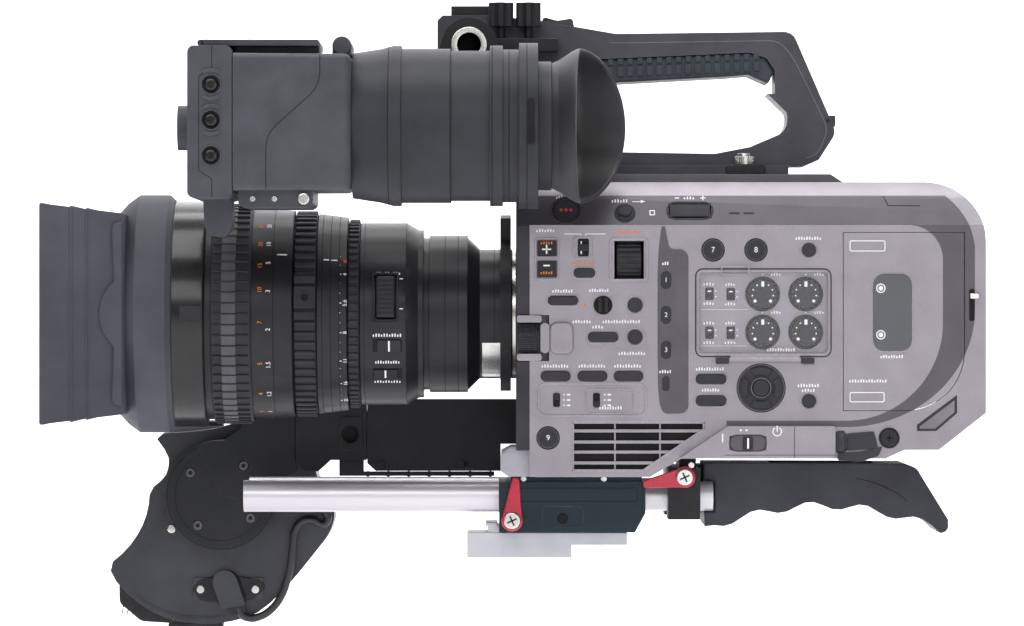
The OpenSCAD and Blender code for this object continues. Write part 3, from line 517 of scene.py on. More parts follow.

# %% [markdown]
# ## The two-tone paint of the body
# The side is light in the middle, with a darker band that runs along the shoulder and sweeps round the
# rear. Its thin pointed tail along the lower edge of the panel, from x = 97 mm, is painted shadow where
# the lower part recedes. The band crosses the cover, the shoulder and the media door, so it is worked out
# in the paint from Object coordinates: all three parts then show one unbroken curve, even at their seams.

# %% Two-tone paint and its painted shadow tail
def two_tone(name, top_stripe):
    mat = SHELL.copy()
    mat.name = name
    tree = mat.node_tree
    shader = tree.nodes["Principled BSDF"]
    place = tree.nodes.new("ShaderNodeTexCoord")
    split = tree.nodes.new("ShaderNodeSeparateXYZ")
    tree.links.new(place.outputs["Object"], split.inputs[0])

    def calc(operation, *values):
        node = tree.nodes.new("ShaderNodeMath")
        node.operation = operation
        for socket, value in zip(node.inputs, values):
            if isinstance(value, (int, float)):
                socket.default_value = value
            else:
                tree.links.new(value, socket)
        return node.outputs[0]

    def corner(cx, rx, cz, rz, upward):
        """Distance, as a share of its radius, outside a box with one elliptic corner."""
        across = calc("MAXIMUM", calc("DIVIDE", calc("SUBTRACT", split.outputs["X"], cx * MM), rx * MM), 0)
        rise = calc("DIVIDE", calc("SUBTRACT", split.outputs["Z"], cz * MM), rz * MM * (1 if upward else -1))
        rise = calc("MAXIMUM", rise, 0)
        return calc("SUBTRACT", calc("SQRT", calc("ADD", calc("POWER", across, 2), calc("POWER", rise, 2))),
                    1)

    inside_line = calc("MAXIMUM", corner(153, 45.3, 112, 46, False), corner(182.3, 16, 141.2, 16.4, True))
    outside_line = calc("MAXIMUM", corner(153, 60.3, 118, 55, False), corner(178, 35.5, 143.5, 35.5, True))
    beyond = calc("GREATER_THAN", inside_line, 0)
    within = calc("LESS_THAN", outside_line, 0)
    low_part = calc("LESS_THAN", split.outputs["Z"], 171.5 * MM if top_stripe else 1.0)
    # A thin dark strip from z 63 to 66 mm, from x = 97 to 153 mm under the panel's lower edge, is painted
    # shadow where the lower part recedes; the rest of the mask is the band's paint.
    rear_band_and_shadow_tail = calc("GREATER_THAN", calc("MAXIMUM", calc("SUBTRACT", split.outputs["X"], 97 * MM),
                                          calc("SUBTRACT", split.outputs["Z"], 157.2 * MM)), 0)
    raised = calc("GREATER_THAN", split.outputs["Z"], 178.15 * MM)
    dark = calc("MAXIMUM", calc("MULTIPLY", calc("MULTIPLY", beyond, within),
                                calc("MULTIPLY", low_part, rear_band_and_shadow_tail)),
                raised)
    colour = shader.inputs["Base Color"].links[0].from_socket
    blend = tree.nodes.new("ShaderNodeMix")
    blend.data_type, blend.blend_type = "RGBA", "MULTIPLY"
    blend.inputs["B"].default_value = (0.31, 0.31, 0.325, 1)
    tree.links.new(dark, blend.inputs["Factor"])
    tree.links.new(colour, blend.inputs["A"])
    tree.links.new(blend.outputs["Result"], shader.inputs["Base Color"])
    return mat


# The side paint is the band's two-tone paint plus a thin tail of painted shadow under the panel's lower edge.
SIDE_PAINT_AND_SHADOW = two_tone("side paint with painted shadow", False)
TOP_PAINT = two_tone("shoulder paint", True)
refined("left_cover", SIDE_PAINT_AND_SHADOW, 0.5)
refined("media_door", SIDE_PAINT_AND_SHADOW, 0.35)
refined("top_cover", TOP_PAINT, 0.7)

# %% [markdown]
# ## Keys on the operator's side
# Small rubber keys sit in shallow moulded surrounds. A rim, a dark gap and a domed key make one control,
# and a list of their places makes them all.

# %% Small keys
LONG_KEYS = [(13.5, 27.5, 120.1, 124.4), (32.2, 46.2, 102.8, 107.5), (10.2, 23.9, 84.4, 89.3),
             (27.4, 41.1, 84.4, 89.3), (44.3, 57.9, 84.4, 89.3), (82.7, 96.8, 83.2, 87.9),
             (82.7, 96.8, 72.9, 77.9),
             (25.6, 35.4, 133, 137.4)]
ROUND_KEYS = [(54.2, 120.1, 3.5), (54.2, 105.2, 3.5), (135.6, 145.9, 3.3), (135.6, 75.2, 3.3)]
NUMBER_KEYS = [(90.7, 145.9, "7"), (110.8, 145.9, "8"), (13.5, 57.9, "9")]
keys, surrounds, gaps, white = bmesh.new(), bmesh.new(), bmesh.new(), bmesh.new()
for x0, x1, z0, z1 in LONG_KEYS:
    r = (z1 - z0) * 0.45
    slab(round_rect(x0, x1, z0, z1, r), SIDE - 1.3, SIDE + 0.5, 0.7, segments=3, bm=keys)
    rim(x0 - 0.9, x1 + 0.9, z0 - 0.9, z1 + 0.9, r + 0.9, 0.75, SIDE - 0.35, SIDE + 0.2, 0.2, bm=surrounds)
    disc(x0 + 2, (z0 + z1) / 2, 0.45, SIDE - 1.5, SIDE, 0.15, 16, bm=keys)
for x, z, r in ROUND_KEYS:
    disc(x, z, r, SIDE - 1.6, SIDE + 0.5, 1.1, bm=keys)
    round_rim(x, z, r + 1.1, 0.8, SIDE - 0.35, SIDE + 0.2, 0.2, bm=surrounds)
for x, z, text in NUMBER_KEYS:
    disc(x, z, 4.7, SIDE - 0.9, SIDE + 0.5, 0.5, bm=keys)
    round_rim(x, z, 3.1, 0.5, SIDE - 1.1, SIDE, 0.15, bm=keys)
    round_rim(x, z, 5.5, 0.6, SIDE - 0.3, SIDE + 0.2, 0.15, bm=gaps)
    numeral(text, 3.6, facing(x, SIDE - 1.0, z), white)
piece("side_keys", keys, "camera", KEY)
piece("key_surrounds", surrounds, "camera", SHELL, slot=slot_of["left_cover"])
piece("key_gaps", gaps, "camera", DARKFILL)

# %% [markdown]
# The filter keys, the slide switches and the tray of two switches have square surrounds. Each is a rim
# with a dark floor, and a small ribbed slider where there is a switch.

# %% Filter keys, slide switches and tray
trays, floors, sliders, orange = bmesh.new(), bmesh.new(), bmesh.new(), bmesh.new()
rim(7.1, 18.9, 131.6, 151.8, 1.8, 0.8, SIDE - 0.45, SIDE + 0.2, 0.2, bm=trays)
for z0, z1 in ((142.9, 150.4), (133, 140.9)):
    slab(round_rect(8.4, 17.6, z0, z1, 0.5), SIDE - 1.2, SIDE + 0.3, 0.35, bm=sliders)
rim(25.1, 35, 141.7, 152.3, 2, 0.7, SIDE - 0.4, SIDE + 0.2, 0.2, bm=trays)
for x0, x1, z0, z1, knob in ((27.4, 32.6, 142.9, 151.2, 0.5), (15.8, 19.1, 72.4, 79, 0.75),
                             (34.5, 37.8, 72.4, 79, 0.2)):
    slab(round_rect(x0, x1, z0, z1, 0.9), SIDE - 0.3, SIDE + 0.2, 0.1, bm=floors)
    middle = z0 + (z1 - z0) * knob
    slab(round_rect(x0 + 0.4, x1 - 0.4, middle - 1.6, middle + 1.6, 0.5), SIDE - 1.5, SIDE, 0.4, bm=sliders)
rim(8.4, 59.8, 67.6, 84, 4, 1.2, SIDE - 0.5, SIDE + 0.2, 0.3, bm=trays)
rim(30.8, 53.6, 69.2, 80.9, 2.2, 0.6, SIDE - 0.5, SIDE + 0.2, 0.2, bm=trays)
rim(31.5, 60, 99.5, 109, 4, 0.35, SIDE - 0.25, SIDE + 0.1, 0.1, bm=trays)
rim(34.5, 59, 115.2, 124.6, 4, 0.35, SIDE - 0.25, SIDE + 0.1, 0.1, bm=trays)
disc(39.2, 120.1, 4.4, SIDE - 0.9, SIDE + 0.3, 0.4, bm=floors)
for side in (-1.5, 1.5):
    slab(round_rect(38.4 + side, 40 + side, 116.8, 123.4, 0.5), SIDE - 2, SIDE - 0.6, 0.3, bm=sliders)
rim(42, 60.4, 131, 151.8, 2.2, 1.4, SIDE - 0.6, SIDE + 0.2, 0.4, bm=trays)
piece("switch_surrounds", trays, "camera", SHELL, slot=slot_of["left_cover"])
piece("switch_floors", floors, "camera", DARKFILL)
piece("switch_sliders", sliders, "camera", KNOB)

# %% [markdown]
# The print is added in two colours: white for most, orange for the light filter. A plus, a minus, level
# dots and index arrows are generic signs.

# %% White and orange print
def sign(points, bm, w=0.5, y=SIDE - PRINT, place=None):
    for p, q in zip(points, points[1:]):
        slab(stroke(p, q, w), y, y + 0.25, 0, bm=bm, place=place)


sign([(10.7, 146.2), (14.9, 146.2)], white, 0.7, SIDE - 1.32)
sign([(12.8, 144.1), (12.8, 148.3)], white, 0.7, SIDE - 1.32)
sign([(11.3, 138.6), (14.3, 138.6)], white, 0.7, SIDE - 1.32)
tick_row(13, 149.2, 6, orange, 1.2, face=SIDE - 1.2)
tick_row(13, 135.2, 6, orange, 1.2, face=SIDE - 1.2)
tick_row(51, 154.4, 13, orange)
tick_row(30.3, 140, 10.5, orange, 1.7)
sign([(21, 153.4), (28.9, 153.4), (28.9, 152.6)], white, 0.35)
sign([(40.5, 153.4), (31, 153.4), (31, 152.6)], white, 0.35)
sign([(29, 144), (29, 150)], white, 0.6, SIDE - 0.45)
LABELS = [(12.5, 155, 9), (20.5, 126.7, 10), (37.5, 127, 9.5), (29.5, 112.4, 9), (48, 112.4, 18),
          (37, 109.9, 5.5),
          (53, 97.5, 13), (17, 91.6, 13), (34.3, 91.6, 13), (51, 91.6, 13), (43, 72, 11), (89.5, 90.2, 13.5),
          (89.8, 80.4, 8.5), (135.6, 151.4, 12.5), (135.6, 82.5, 10.5), (135.6, 80.2, 6.5),
          (122.8, 99.2, 13.5)]
for x, z, length in LABELS:
    tick_row(x, z, length, white)
for x in (21, 40):
    for i in range(3):
        disc(x, 73.2 + i * 2.5, 0.4, SIDE - PRINT, SIDE, 0, 12, bm=white)
        sign([(x + 1.3, 73.2 + i * 2.5), (x + 2.9, 73.2 + i * 2.5)], white, 0.8)
disc(30.8, 120.1, 0.7, SIDE - 0.2, SIDE, 0.1, 16, bm=orange)
piece("print_orange", orange, "camera", ORANGE, sharp=30)
print("print spans", round(LABELS[0][0]), "to", round(LABELS[-1][0]), "mm")

# %% [markdown]
# ## The key column and the navigation pad
# The three numbered keys stand in a scooped column with a soft ridge on its right. The pad is a ring of
# four curved keys round a domed button.

# %% Key column
column = bmesh.new()
slab(rounded([(66.6, 157), (65.2, 146), (64.9, 138), (64.9, 82), (65.6, 74), (67.4, 69.2), (77, 69.4),
              (79.2, 72),
              (79.2, 143.6), (76.6, 146.2), (70.4, 146.4), (68.2, 157)], 2.4), SIDE - 0.3, SIDE + 0.1, 0.25,
              bm=column)
column_floor = block((64.4, 73), (-67.4, -66.9), (89.6, 140.4), 0.1)
piece("key_column_floor", column_floor, "camera", TRIM)
bmesh.ops.bisect_plane(column, geom=column.verts[:] + column.edges[:] + column.faces[:],
                       plane_co=(74 * MM, 0, 0), plane_no=(1, 0, 0))
ridge = [v for v in column.verts if 73.9 * MM < v.co.x < 78.8 * MM and v.co.y < SIDE * MM - 0.2 * MM]
bmesh.ops.translate(column, verts=ridge, vec=(0, -0.5 * MM, 0))
piece("key_column", column, "camera", BAND)
for number, (node, z) in enumerate((("key_1", 131.8), ("key_2", 115.5), ("key_3", 99.1)), 1):
    cap = bmesh.new()
    slab(arc(68.7, z + 1.9, 2.75, 0, 180, 14) + arc(68.7, z - 1.9, 2.75, 180, 360, 14), SIDE - 0.5, SIDE + 3,
         0.8,
         segments=3, bm=cap)
    disc(68.7, z, 1.65, SIDE + 2.9, -63.2, 0.1, 24, bm=cap)
    piece(node + "_cap", cap, owner[node], KEY, replaces=(node,))
    face_number = bmesh.new()
    numeral(str(number), 3.1, facing(68.7, SIDE - 0.56, z), face_number)
    piece(node + "_number", face_number, owner[node], WHITE)
extra = slab(round_rect(67, 70.2, 79.8, 86.8, 1.5), SIDE - 1, SIDE, 0.4)
piece("column_key", extra, "camera", KEY)
tick_row(68.6, 89, 6, white, face=SIDE - 0.3)
tick_row(68.6, 139.6, 3.4, white, face=SIDE - 0.3)

# %% [markdown]
# The navigation pad is a ring of four directions round a domed centre key, and the key is a piece of its
# own because it can be pressed.

# %% Navigation pad
PAD_CENTRE = (113.2, 81.3)
pad_ring = round_rim(*PAD_CENTRE, 10.8, 6.1, SIDE - 0.3, SIDE + 0.1, 0.15)
piece("pad_floor", pad_ring, "camera", TRIM)
pad_keys = bmesh.new()
for turn in (0, 90, 180, 270):
    outer, inner_line = arc(*PAD_CENTRE, 9.9, turn - 33, turn + 33, 12), arc(*PAD_CENTRE, 6.3, turn + 30,
                                                                             turn - 30, 12)
    slab(outer + inner_line, SIDE - 1.5, SIDE, 0.5, bm=pad_keys)
round_rim(*PAD_CENTRE, 5.6, 0.7, SIDE - 0.9, SIDE, 0.2, bm=pad_keys)
piece("pad_arrows", pad_keys, "camera", KEY)
dome = disc(*PAD_CENTRE, 4.1, SIDE - 1.9, SIDE + 4.9, 1.3)
disc(*PAD_CENTRE, 1.65, SIDE + 4.8, -63.2, 0.1, 24, bm=dome)
piece("pad_key_dome", dome, owner["pad_key"], KEY, replaces=("pad_key",))
pad_seam = round_rim(*PAD_CENTRE, 11.5, 0.5, SIDE - 0.12, SIDE + 0.1)
piece("pad_seam", pad_seam, "camera", DARKFILL)

# %% [markdown]
# ## Sound controls under their clear flap
# Four level dials with a dot scale and an index, four slide switches, and fine print stand in a shallow
# recess. The flap over them is a thin frame with a clear window, so the dials are seen through it.

# %% Dials and flap
DIALS = {"audio_dial_1": (114, 125.3), "audio_dial_2": (134.2, 125.3), "audio_dial_3": (114, 107.5),
         "audio_dial_4": (134.2, 107.5)}
recess = slab(round_rect(83.7, 144.8, 97, 135.8, 1.8), SIDE + 3.1, SIDE + 3.9, 0)
panel_white = bmesh.new()
piece("sound_panel", recess, "camera", SHELL, slot=slot_of["left_cover"])
wells = bmesh.new()
for node, (x, z) in DIALS.items():
    knob = disc(x, z, 6.1, SIDE + 0.4, -66, 0.5)
    disc(x, z, 4.6, SIDE + 0.2, SIDE + 1, 0.2, bm=knob)
    for i in range(20):
        a = i * 18
        disc(x + 6 * math.cos(math.radians(a)), z + 6 * math.sin(math.radians(a)), 0.5, SIDE + 0.9, -66.2,
             0.1, 8, bm=knob)
    piece(node + "_knob", knob, owner[node], KNOB, replaces=(node,))
    dots = bmesh.new()
    for i in range(9):
        a = 90 + (i - 4) * 33
        r = 0.75 if i in (0, 8) else 0.38
        disc(x + 4.9 * math.cos(math.radians(a)), z + 4.9 * math.sin(math.radians(a)), r, SIDE + 0.12, SIDE
             + 0.4, 0, 12,
             bm=dots)
    slab(round_rect(x - 0.7, x + 0.7, z + 3.4, z + 5.9, 0.3), SIDE + 0.06, SIDE + 0.3, 0, bm=dots)
    piece(node + "_scale", dots, owner[node], WHITE)
    round_rim(x, z, 8.1, 1.5, SIDE + 1.2, SIDE + 3.4, 0.4, bm=wells)
    tick_row(x + 6.5, z + 9.2, 5, panel_white, 1.4, face=SIDE + 3.1)
    slab([(x - 0.6, z + 9.4), (x + 0.6, z + 9.4), (x, z + 8.5)], SIDE + 2.9, SIDE + 3.2, 0, bm=panel_white)
levers = bmesh.new()
for x, z in ((89.1, 125.4), (89.1, 107.1), (99.1, 125.2), (99.1, 107.1)):
    slab(round_rect(x - 2, x + 2, z - 2.9, z + 2.9, 0.6), SIDE + 2.7, SIDE + 3.4, 0.15, bm=wells)
    slab(round_rect(x - 1.4, x + 1.4, z - 0.2, z + 2.6, 0.4), SIDE + 1.3, SIDE + 2.8, 0.3, bm=levers)
    sign([(x - 0.8, z + 1.2), (x + 0.8, z + 1.2)], panel_white, 0.6, SIDE + 1.1)
    for dz in (-1.3, 1.3):
        disc(x + 3, z + dz, 0.35, SIDE + 2.95, SIDE + 3.2, 0, 10, bm=panel_white)
    tick_row(x, z + 4.6, 5.5 if x < 95 else 5, panel_white, 1.4, face=SIDE + 3.1)
    tick_row(x, z - 4.5, 5.5, panel_white, 1.4, face=SIDE + 3.1)
sign([(85, 101), (107, 101)], panel_white, 0.15, SIDE + 2.95)
sign([(85, 118), (107, 118)], panel_white, 0.15, SIDE + 2.95)
piece("sound_wells", wells, "camera", DARKFILL)
piece("sound_switches", levers, "camera", KNOB)
piece("sound_print", panel_white, "camera", WHITE)

CLEAR = bpy.data.materials.new("clear window")
CLEAR.use_nodes = True
glass = CLEAR.node_tree.nodes["Principled BSDF"]
glass.inputs["Base Color"].default_value = tone("#f3f2f5")
glass.inputs["Roughness"].default_value = 0.08
glass.inputs["Alpha"].default_value = 0.035
haze = CLEAR.node_tree.nodes.new("ShaderNodeTexNoise")
haze.inputs["Scale"].default_value = 60
haze_place = CLEAR.node_tree.nodes.new("ShaderNodeTexCoord")
haze_range = CLEAR.node_tree.nodes.new("ShaderNodeMapRange")
haze_range.inputs["To Min"].default_value = 0.05
haze_range.inputs["To Max"].default_value = 0.14
CLEAR.node_tree.links.new(haze_place.outputs["Object"], haze.inputs["Vector"])
CLEAR.node_tree.links.new(haze.outputs["Fac"], haze_range.inputs["Value"])
CLEAR.node_tree.links.new(haze_range.outputs["Result"], glass.inputs["Roughness"])
flap = rim(83.1, 145.4, 96.5, 136.5, 3, 1.0, SIDE - 1.6, SIDE - 0.3, 0.3)
rim(94.4, 107.6, 134, 138.3, 1, 0.5, SIDE - 2.6, SIDE - 1.4, 0.3, bm=flap)
turned([(98.4, 0), (98.4, 1.0), (131.6, 1.0), (131.6, 0)], SIDE - 1.5, 94.4, 24, flap, close=False)
block((98.7, 131.3), (SIDE - 1.9, SIDE - 1.1), (94.4, 97), 0.2, bm=flap)
piece("flap_frame", flap, owner["audio_cover"], SHELL, replaces=("audio_cover",))
window = slab(round_rect(84, 144.5, 97.4, 135.6, 2), SIDE - 1.3, SIDE - 0.7, 0.1)
piece("flap_window", window, owner["audio_cover"], CLEAR)
flap_seam = rim(82.3, 146.2, 95.7, 137.3, 3.6, 0.45, SIDE - 0.12, SIDE + 0.1)
piece("flap_seam", flap_seam, "camera", DARKFILL)

# %% [markdown]
# ## Shoulder controls
# The sloping shoulder carries the record key, a lock lever, the volume keys and a pair of slots. A matrix
# tips shapes drawn on a flat side view onto the slope, so they can be drawn as easily as the others.

# %% Shoulder
SLOPE = Vector((0, 8, 14.2)).normalized()
ON_SLOPE = Matrix(((1, 0, 0, 0), (0, SLOPE.z, SLOPE.y, SIDE * MM), (0, -SLOPE.y, SLOPE.z, 157.6 * MM),
                   (0, 0, 0, 1)))
slope_dark, slope_keys, slope_white = bmesh.new(), bmesh.new(), bmesh.new()
round_rim(21.9, 7.8, 7.3, 0.9, -0.5, 0.2, 0.25, bm=slope_dark, place=ON_SLOPE)
round_rim(49.5, 6.4, 5, 0.8, -0.4, 0.2, 0.2, bm=slope_dark, place=ON_SLOPE)
rim(68.9, 91.1, 2.9, 12.7, 4.6, 0.7, -0.35, 0.2, 0.2, bm=slope_dark, place=ON_SLOPE)
for x0 in (98.2, 105):
    slab(round_rect(x0, x0 + 5.2, 5.9, 6.9, 0.4), -0.15, 0.1, 0, bm=slope_dark, place=ON_SLOPE)
disc(49.5, 6.4, 4.1, -0.8, 0.2, 0.3, bm=slope_keys, place=ON_SLOPE)
slab(rounded([(46.2, 5.2), (51, 4), (53, 6.4), (51, 8.8), (46.2, 7.6)], 1.2), -2.4, -0.6, 0.6, bm=slope_keys,
     place=ON_SLOPE)
tick_row(47.4, 13, 8, slope_white, 1.6, face=0, place=ON_SLOPE)
sign([(53, 12.6), (57, 12.6)], slope_white, 0.4, -PRINT, ON_SLOPE)
slab([(57, 12), (59, 12.6), (57, 13.6)], -PRINT, 0.1, 0, bm=slope_white, place=ON_SLOPE)
tick_row(22, 15, 9.5, slope_white, 1.6, face=0, place=ON_SLOPE)
tick_row(80, 14.6, 5.5, slope_white, 1.4, face=0, place=ON_SLOPE)
sign([(73, 14.6), (75, 14.6)], slope_white, 0.5, -PRINT, ON_SLOPE)
sign([(85, 14.6), (87.4, 14.6)], slope_white, 0.5, -PRINT, ON_SLOPE)
sign([(86.2, 13.4), (86.2, 15.8)], slope_white, 0.5, -PRINT, ON_SLOPE)
rim(61, 63.6, 5.2, 8, 0.4, 0.5, -PRINT, 0.1, bm=slope_white, place=ON_SLOPE)
piece("shoulder_rims", slope_dark, "camera", TRIM)
piece("shoulder_lever", slope_keys, "camera", KEY)
piece("shoulder_print", slope_white, "camera", WHITE)
rec_mark = bmesh.new()
for i in range(3):
    disc(19.6 + i * 2.3, 7.8, 0.8, -0.75, -0.4, 0, 16, bm=rec_mark, place=ON_SLOPE)
piece("record_mark", rec_mark, owner["rec_button"], REDPRINT)
rec_ring = round_rim(21.9, 7.8, 5.6, 0.5, -0.75, -0.4, 0.12, place=ON_SLOPE)
piece("record_ring", rec_ring, owner["rec_button"], KNOB)

# %% [markdown]
# The ribbed wheel and the ribbed menu dial are turned along X, with grooves spun into them. Ribs are
# small blocks placed round the axis in a loop.

# %% Wheels
def knurled(x0, x1, r, y, z, ribs, rib_w, rib_h, bm=None, land=0.0):
    """A wheel along X with straight ribs round its rim."""
    bm = turned([(x0, 0), (x0, r - 0.3), (x0 + 0.3, r), (x1 - 0.3, r), (x1, r - 0.3), (x1, 0)], y, z, 96, bm,
                close=False)
    for i in range(ribs):
        turn = Matrix.Translation(Vector((0, y, z)) * MM) @ Matrix.Rotation(i * math.tau / ribs, 4, "X")
        rib = block((x0 + land, x1 - land), (-rib_w / 2, rib_w / 2), (r - 0.4, r + rib_h), rib_w * 0.22, 1)
        bmesh.ops.transform(rib, matrix=turn, verts=rib.verts)
        join(bm, rib)
    return bm


wheel = knurled(45.6, 57.2, 9.5, SIDE + 9.5, 141.2, 24, 1.5, 0.75, land=0.3)
piece("nd_wheel", wheel, owner["nd_dial"], KNOB, replaces=("nd_dial",))
menu = knurled(-0.9, 9.6, 7.9, SIDE + 6, 104.7, 44, 0.7, 0.45, land=0.5)
for x in (1.4, 4.3, 7.2):
    turned([(x, 7.0), (x, 8.42), (x + 0.5, 8.42), (x + 0.5, 7.0)], SIDE + 6, 104.7, 96, menu)
piece("menu_wheel", menu, owner["menu_dial"], KNOB, replaces=("menu_dial",))
cap = slab(round_rect(9.8, 14.2, 97.6, 111.8, 2.2), SIDE - 1.6, SIDE + 0.4, 1.2, segments=4)
slab(round_rect(-1.2, 10.6, 111.9, 115.4, 1.2), SIDE - 1.2, SIDE + 0.5, 0.5, bm=cap)
slab(round_rect(-1.2, 10.6, 94, 97.4, 1.2), SIDE - 1.2, SIDE + 0.5, 0.5, bm=cap)
slab(round_rect(14.2, 25.4, 97.2, 112.2, 3.5), SIDE - 1.9, SIDE + 0.3, 1.6, segments=4, bm=cap)
piece("menu_wheel_cheeks", cap, "camera", SHELL, slot=slot_of["left_cover"])

# %% [markdown]
# ## Media door, power switch and rear details
# The door has a dark glossy window for the cards with two small round marks, and a slot for its latch.
# The power switch slides in a stadium slot. Behind it a strap link is held by a pivot screw.

# %% Media door details
door_body = owner["media_door"]
window = slab(round_rect(165.7, 183.7, 98.6, 134.8, 5), SIDE - 0.75, SIDE + 0.5, 0.15)
piece("card_window", window, door_body,
      finish("smoked window", "#0a0d12", "#1b242e", 0.09, drift=26, bump=0.0, coat=0.5))
marks = bmesh.new()
for z in (128, 106.2):
    round_rim(169.2, z, 2.2, 0.5, SIDE - 0.9, SIDE - 0.6, bm=marks)
    disc(169.2, z, 1.1, SIDE - 0.9, SIDE - 0.6, 0, 20, bm=marks)
rim(154.6, 171.4, 145.2, 150.4, 1, 0.45, SIDE - PRINT, SIDE + 0.1, bm=marks)
rim(154.6, 171, 74.6, 79.4, 1, 0.45, SIDE - PRINT, SIDE + 0.1, bm=marks)
tick_row(174.6, 96, 11, marks)
tick_row(163.5, 84.6, 18, marks)
piece("door_print", marks, door_body, WHITE, sharp=30)
latch = slab(round_rect(210.6, 213.2, 112.7, 127.6, 0.8), SIDE - 0.15, SIDE + 0.1, 0.05)
piece("latch_slot", latch, "camera", DARKFILL)
toggle = slab(round_rect(210.8, 215.3, 123, 125.8, 0.9), SIDE - 1.6, SIDE, 0.5)
piece("latch_toggle", toggle, "camera", STEEL)

# %% [markdown]
# The slider stands proud of its slot, and a pale strip along its middle rib is a painted highlight. The
# link and its pivot screw lie behind it.

# %% Power switch, strap link and pivot
housing_face = SIDE - 5
slot_rim = rim(98.2, 115.6, 51.6, 59.6, 3.6, 0.5, housing_face - 0.25, housing_face + 0.2, 0.15)
piece("power_slot_rim", slot_rim, "camera", TRIM)
slot_floor = slab(round_rect(98.8, 115, 52.2, 59, 3), housing_face - 0.05, housing_face + 0.3, 0)
piece("power_slot_floor", slot_floor, "camera", BAND)
slider = slab(round_rect(104.5, 109.1, 52.4, 58.6, 0.8), housing_face - 1.4, housing_face + 0.2, 0.35)
for i in range(3):
    block((105.3 + i * 1.2, 105.9 + i * 1.2), (housing_face - 1.75, housing_face - 1.2), (53, 58), 0.15,
          bm=slider)
piece("power_slider", slider, owner["power_switch"], KNOB, replaces=("power_switch",))
# A painted highlight: a thin white strip along the crest of the slider's middle rib.
painted_glint = slab(round_rect(106.4, 107.3, 53, 58, 0.3), housing_face - 1.95, housing_face - 1.6, 0.05)
piece("power_slider_painted_glint", painted_glint, owner["power_switch"], WHITE)
power_print = bmesh.new()
sign([(95, 56), (95, 60)], power_print, 0.6, housing_face - PRINT)
for x in (103.5, 106.2):
    disc(x, 61.6, 0.5, housing_face - PRINT, housing_face, 0, 12, bm=power_print)
arc_mark = arc(120.5, 61, 2, 120, 420, 20)
sign(arc_mark, power_print, 0.5, housing_face - PRINT)
sign([(120.5, 61), (120.5, 63.8)], power_print, 0.5, housing_face - PRINT)
piece("power_print", power_print, "camera", WHITE)
seams = bmesh.new()
sign([(128.6, 48.6), (128.6, 63.4)], seams, 0.25, housing_face - 0.06)
sign([(96, 50), (148, 50)], seams, 0.25, housing_face - 0.06)
piece("housing_seams", seams, "camera", DARKFILL)
link = bmesh.new()
turned([(148, 0), (148, 5), (150, 5.6), (152, 5.6), (152.6, 4.4), (153.4, 4.4), (153.4, 0)], SIDE + 1.5, 56,
       40, link,
       close=False)
slab(rounded([(153.4, 52), (153.4, 60), (166, 61), (168, 53)], 1), SIDE - 1.6, SIDE + 0.4, 0.5, bm=link)
slab(rounded([(149, 47.5), (149, 51), (160, 51.5), (170, 54), (168, 49.5), (160, 46.8)], 1), SIDE - 1.8, SIDE
     + 0.4, 0.5,
     bm=link)
piece("strap_link", link, "camera", TRIM)
pivot = disc(173.1, 57.9, 4, SIDE - 2.6, SIDE + 0.3, 0.7)
round_rim(173.1, 57.9, 4.9, 0.8, SIDE - 0.9, SIDE + 0.2, 0.3, bm=pivot)
piece("strap_pivot", pivot, "camera", KNOB)
cross = bmesh.new()
sign([(171.4, 57.9), (174.8, 57.9)], cross, 0.7, SIDE - 2.68)
sign([(173.1, 56.2), (173.1, 59.6)], cross, 0.7, SIDE - 2.68)
piece("strap_pivot_cross", cross, "camera", DARKFILL)
loop_edge = ring([(186.2, 64), (204.9, 78), (204.9, 69.6), (195.1, 61.2), (186.2, 61.2)],
                 [(187.4, 63.2), (203.9, 75.6), (203.9, 70), (194.8, 62.2), (187.4, 62.2)], SIDE - 0.3, SIDE
                 + 3, 0.2)
piece("loop_liner", loop_edge, "camera", TRIM)
corner_seam = bmesh.new()
sign([(170.8, 15.5), (173, 10.5), (188, 10.4)], corner_seam, 0.35, -0.1, ON_SLOPE)
piece("corner_seam", corner_seam, "camera", DARKFILL)
piece("print_white", white, "camera", WHITE, sharp=30)

# %% [markdown]
# ## The zoom lens
# The barrel is a turned part from the drawing. What brings it to life is on it: ribbed rubber rings, thin
# seams, scales of numbers, a rocker and two slide switches. A matrix that turns round the lens axis lets
# each be drawn flat at the near side and then carried to its angle.

# %% Round the lens axis
AXIS = 116
BORE_LINE = Matrix.Translation(Vector((0, 0, AXIS)) * MM)


def around(angle):
    """Lifts a shape drawn at the near side by an angle round the lens axis."""
    return BORE_LINE @ Matrix.Rotation(math.radians(-angle), 4, "X")


def ribs_round(x0, x1, r0, r1, w, count, bm, skip=None, width=0.25):
    for i in range(count):
        angle = i * 360 / count
        if skip and skip[0] < (angle + 180) % 360 - 180 < skip[1]:
            continue
        rib = block((x0, x1), (-r1, -r0), (-w / 2, w / 2), width, 1)
        bmesh.ops.transform(rib, matrix=around(angle), verts=rib.verts)
        join(bm, rib)


def seam_ring(x, r, bm, w=0.35, y=0, z=AXIS):
    turned([(x, r - 0.3), (x, r + 0.06), (x + w, r + 0.06), (x + w, r - 0.3)], y, z, bm=bm)


refined("lens_barrel", LENS, 0.25, sharp=30)
gloss = turned([(-164, 53.9), (-163.6, 54.08), (-150, 54.08), (-149.4, 53.9)], steps=160)
piece("front_barrel_gloss", gloss, "camera", GLOSS, slot=slot_of["lens_barrel"])
badge = slab(round_rect(-160, -149.8, AXIS - 3.6, AXIS + 3.8, 0.8), -54.6, -53.2, 0.3)
piece("blank_badge", badge, "camera", RING)

# %% [markdown]
# The three rings turn about the lens axis. Each is a turned sleeve with raised ribs round it.

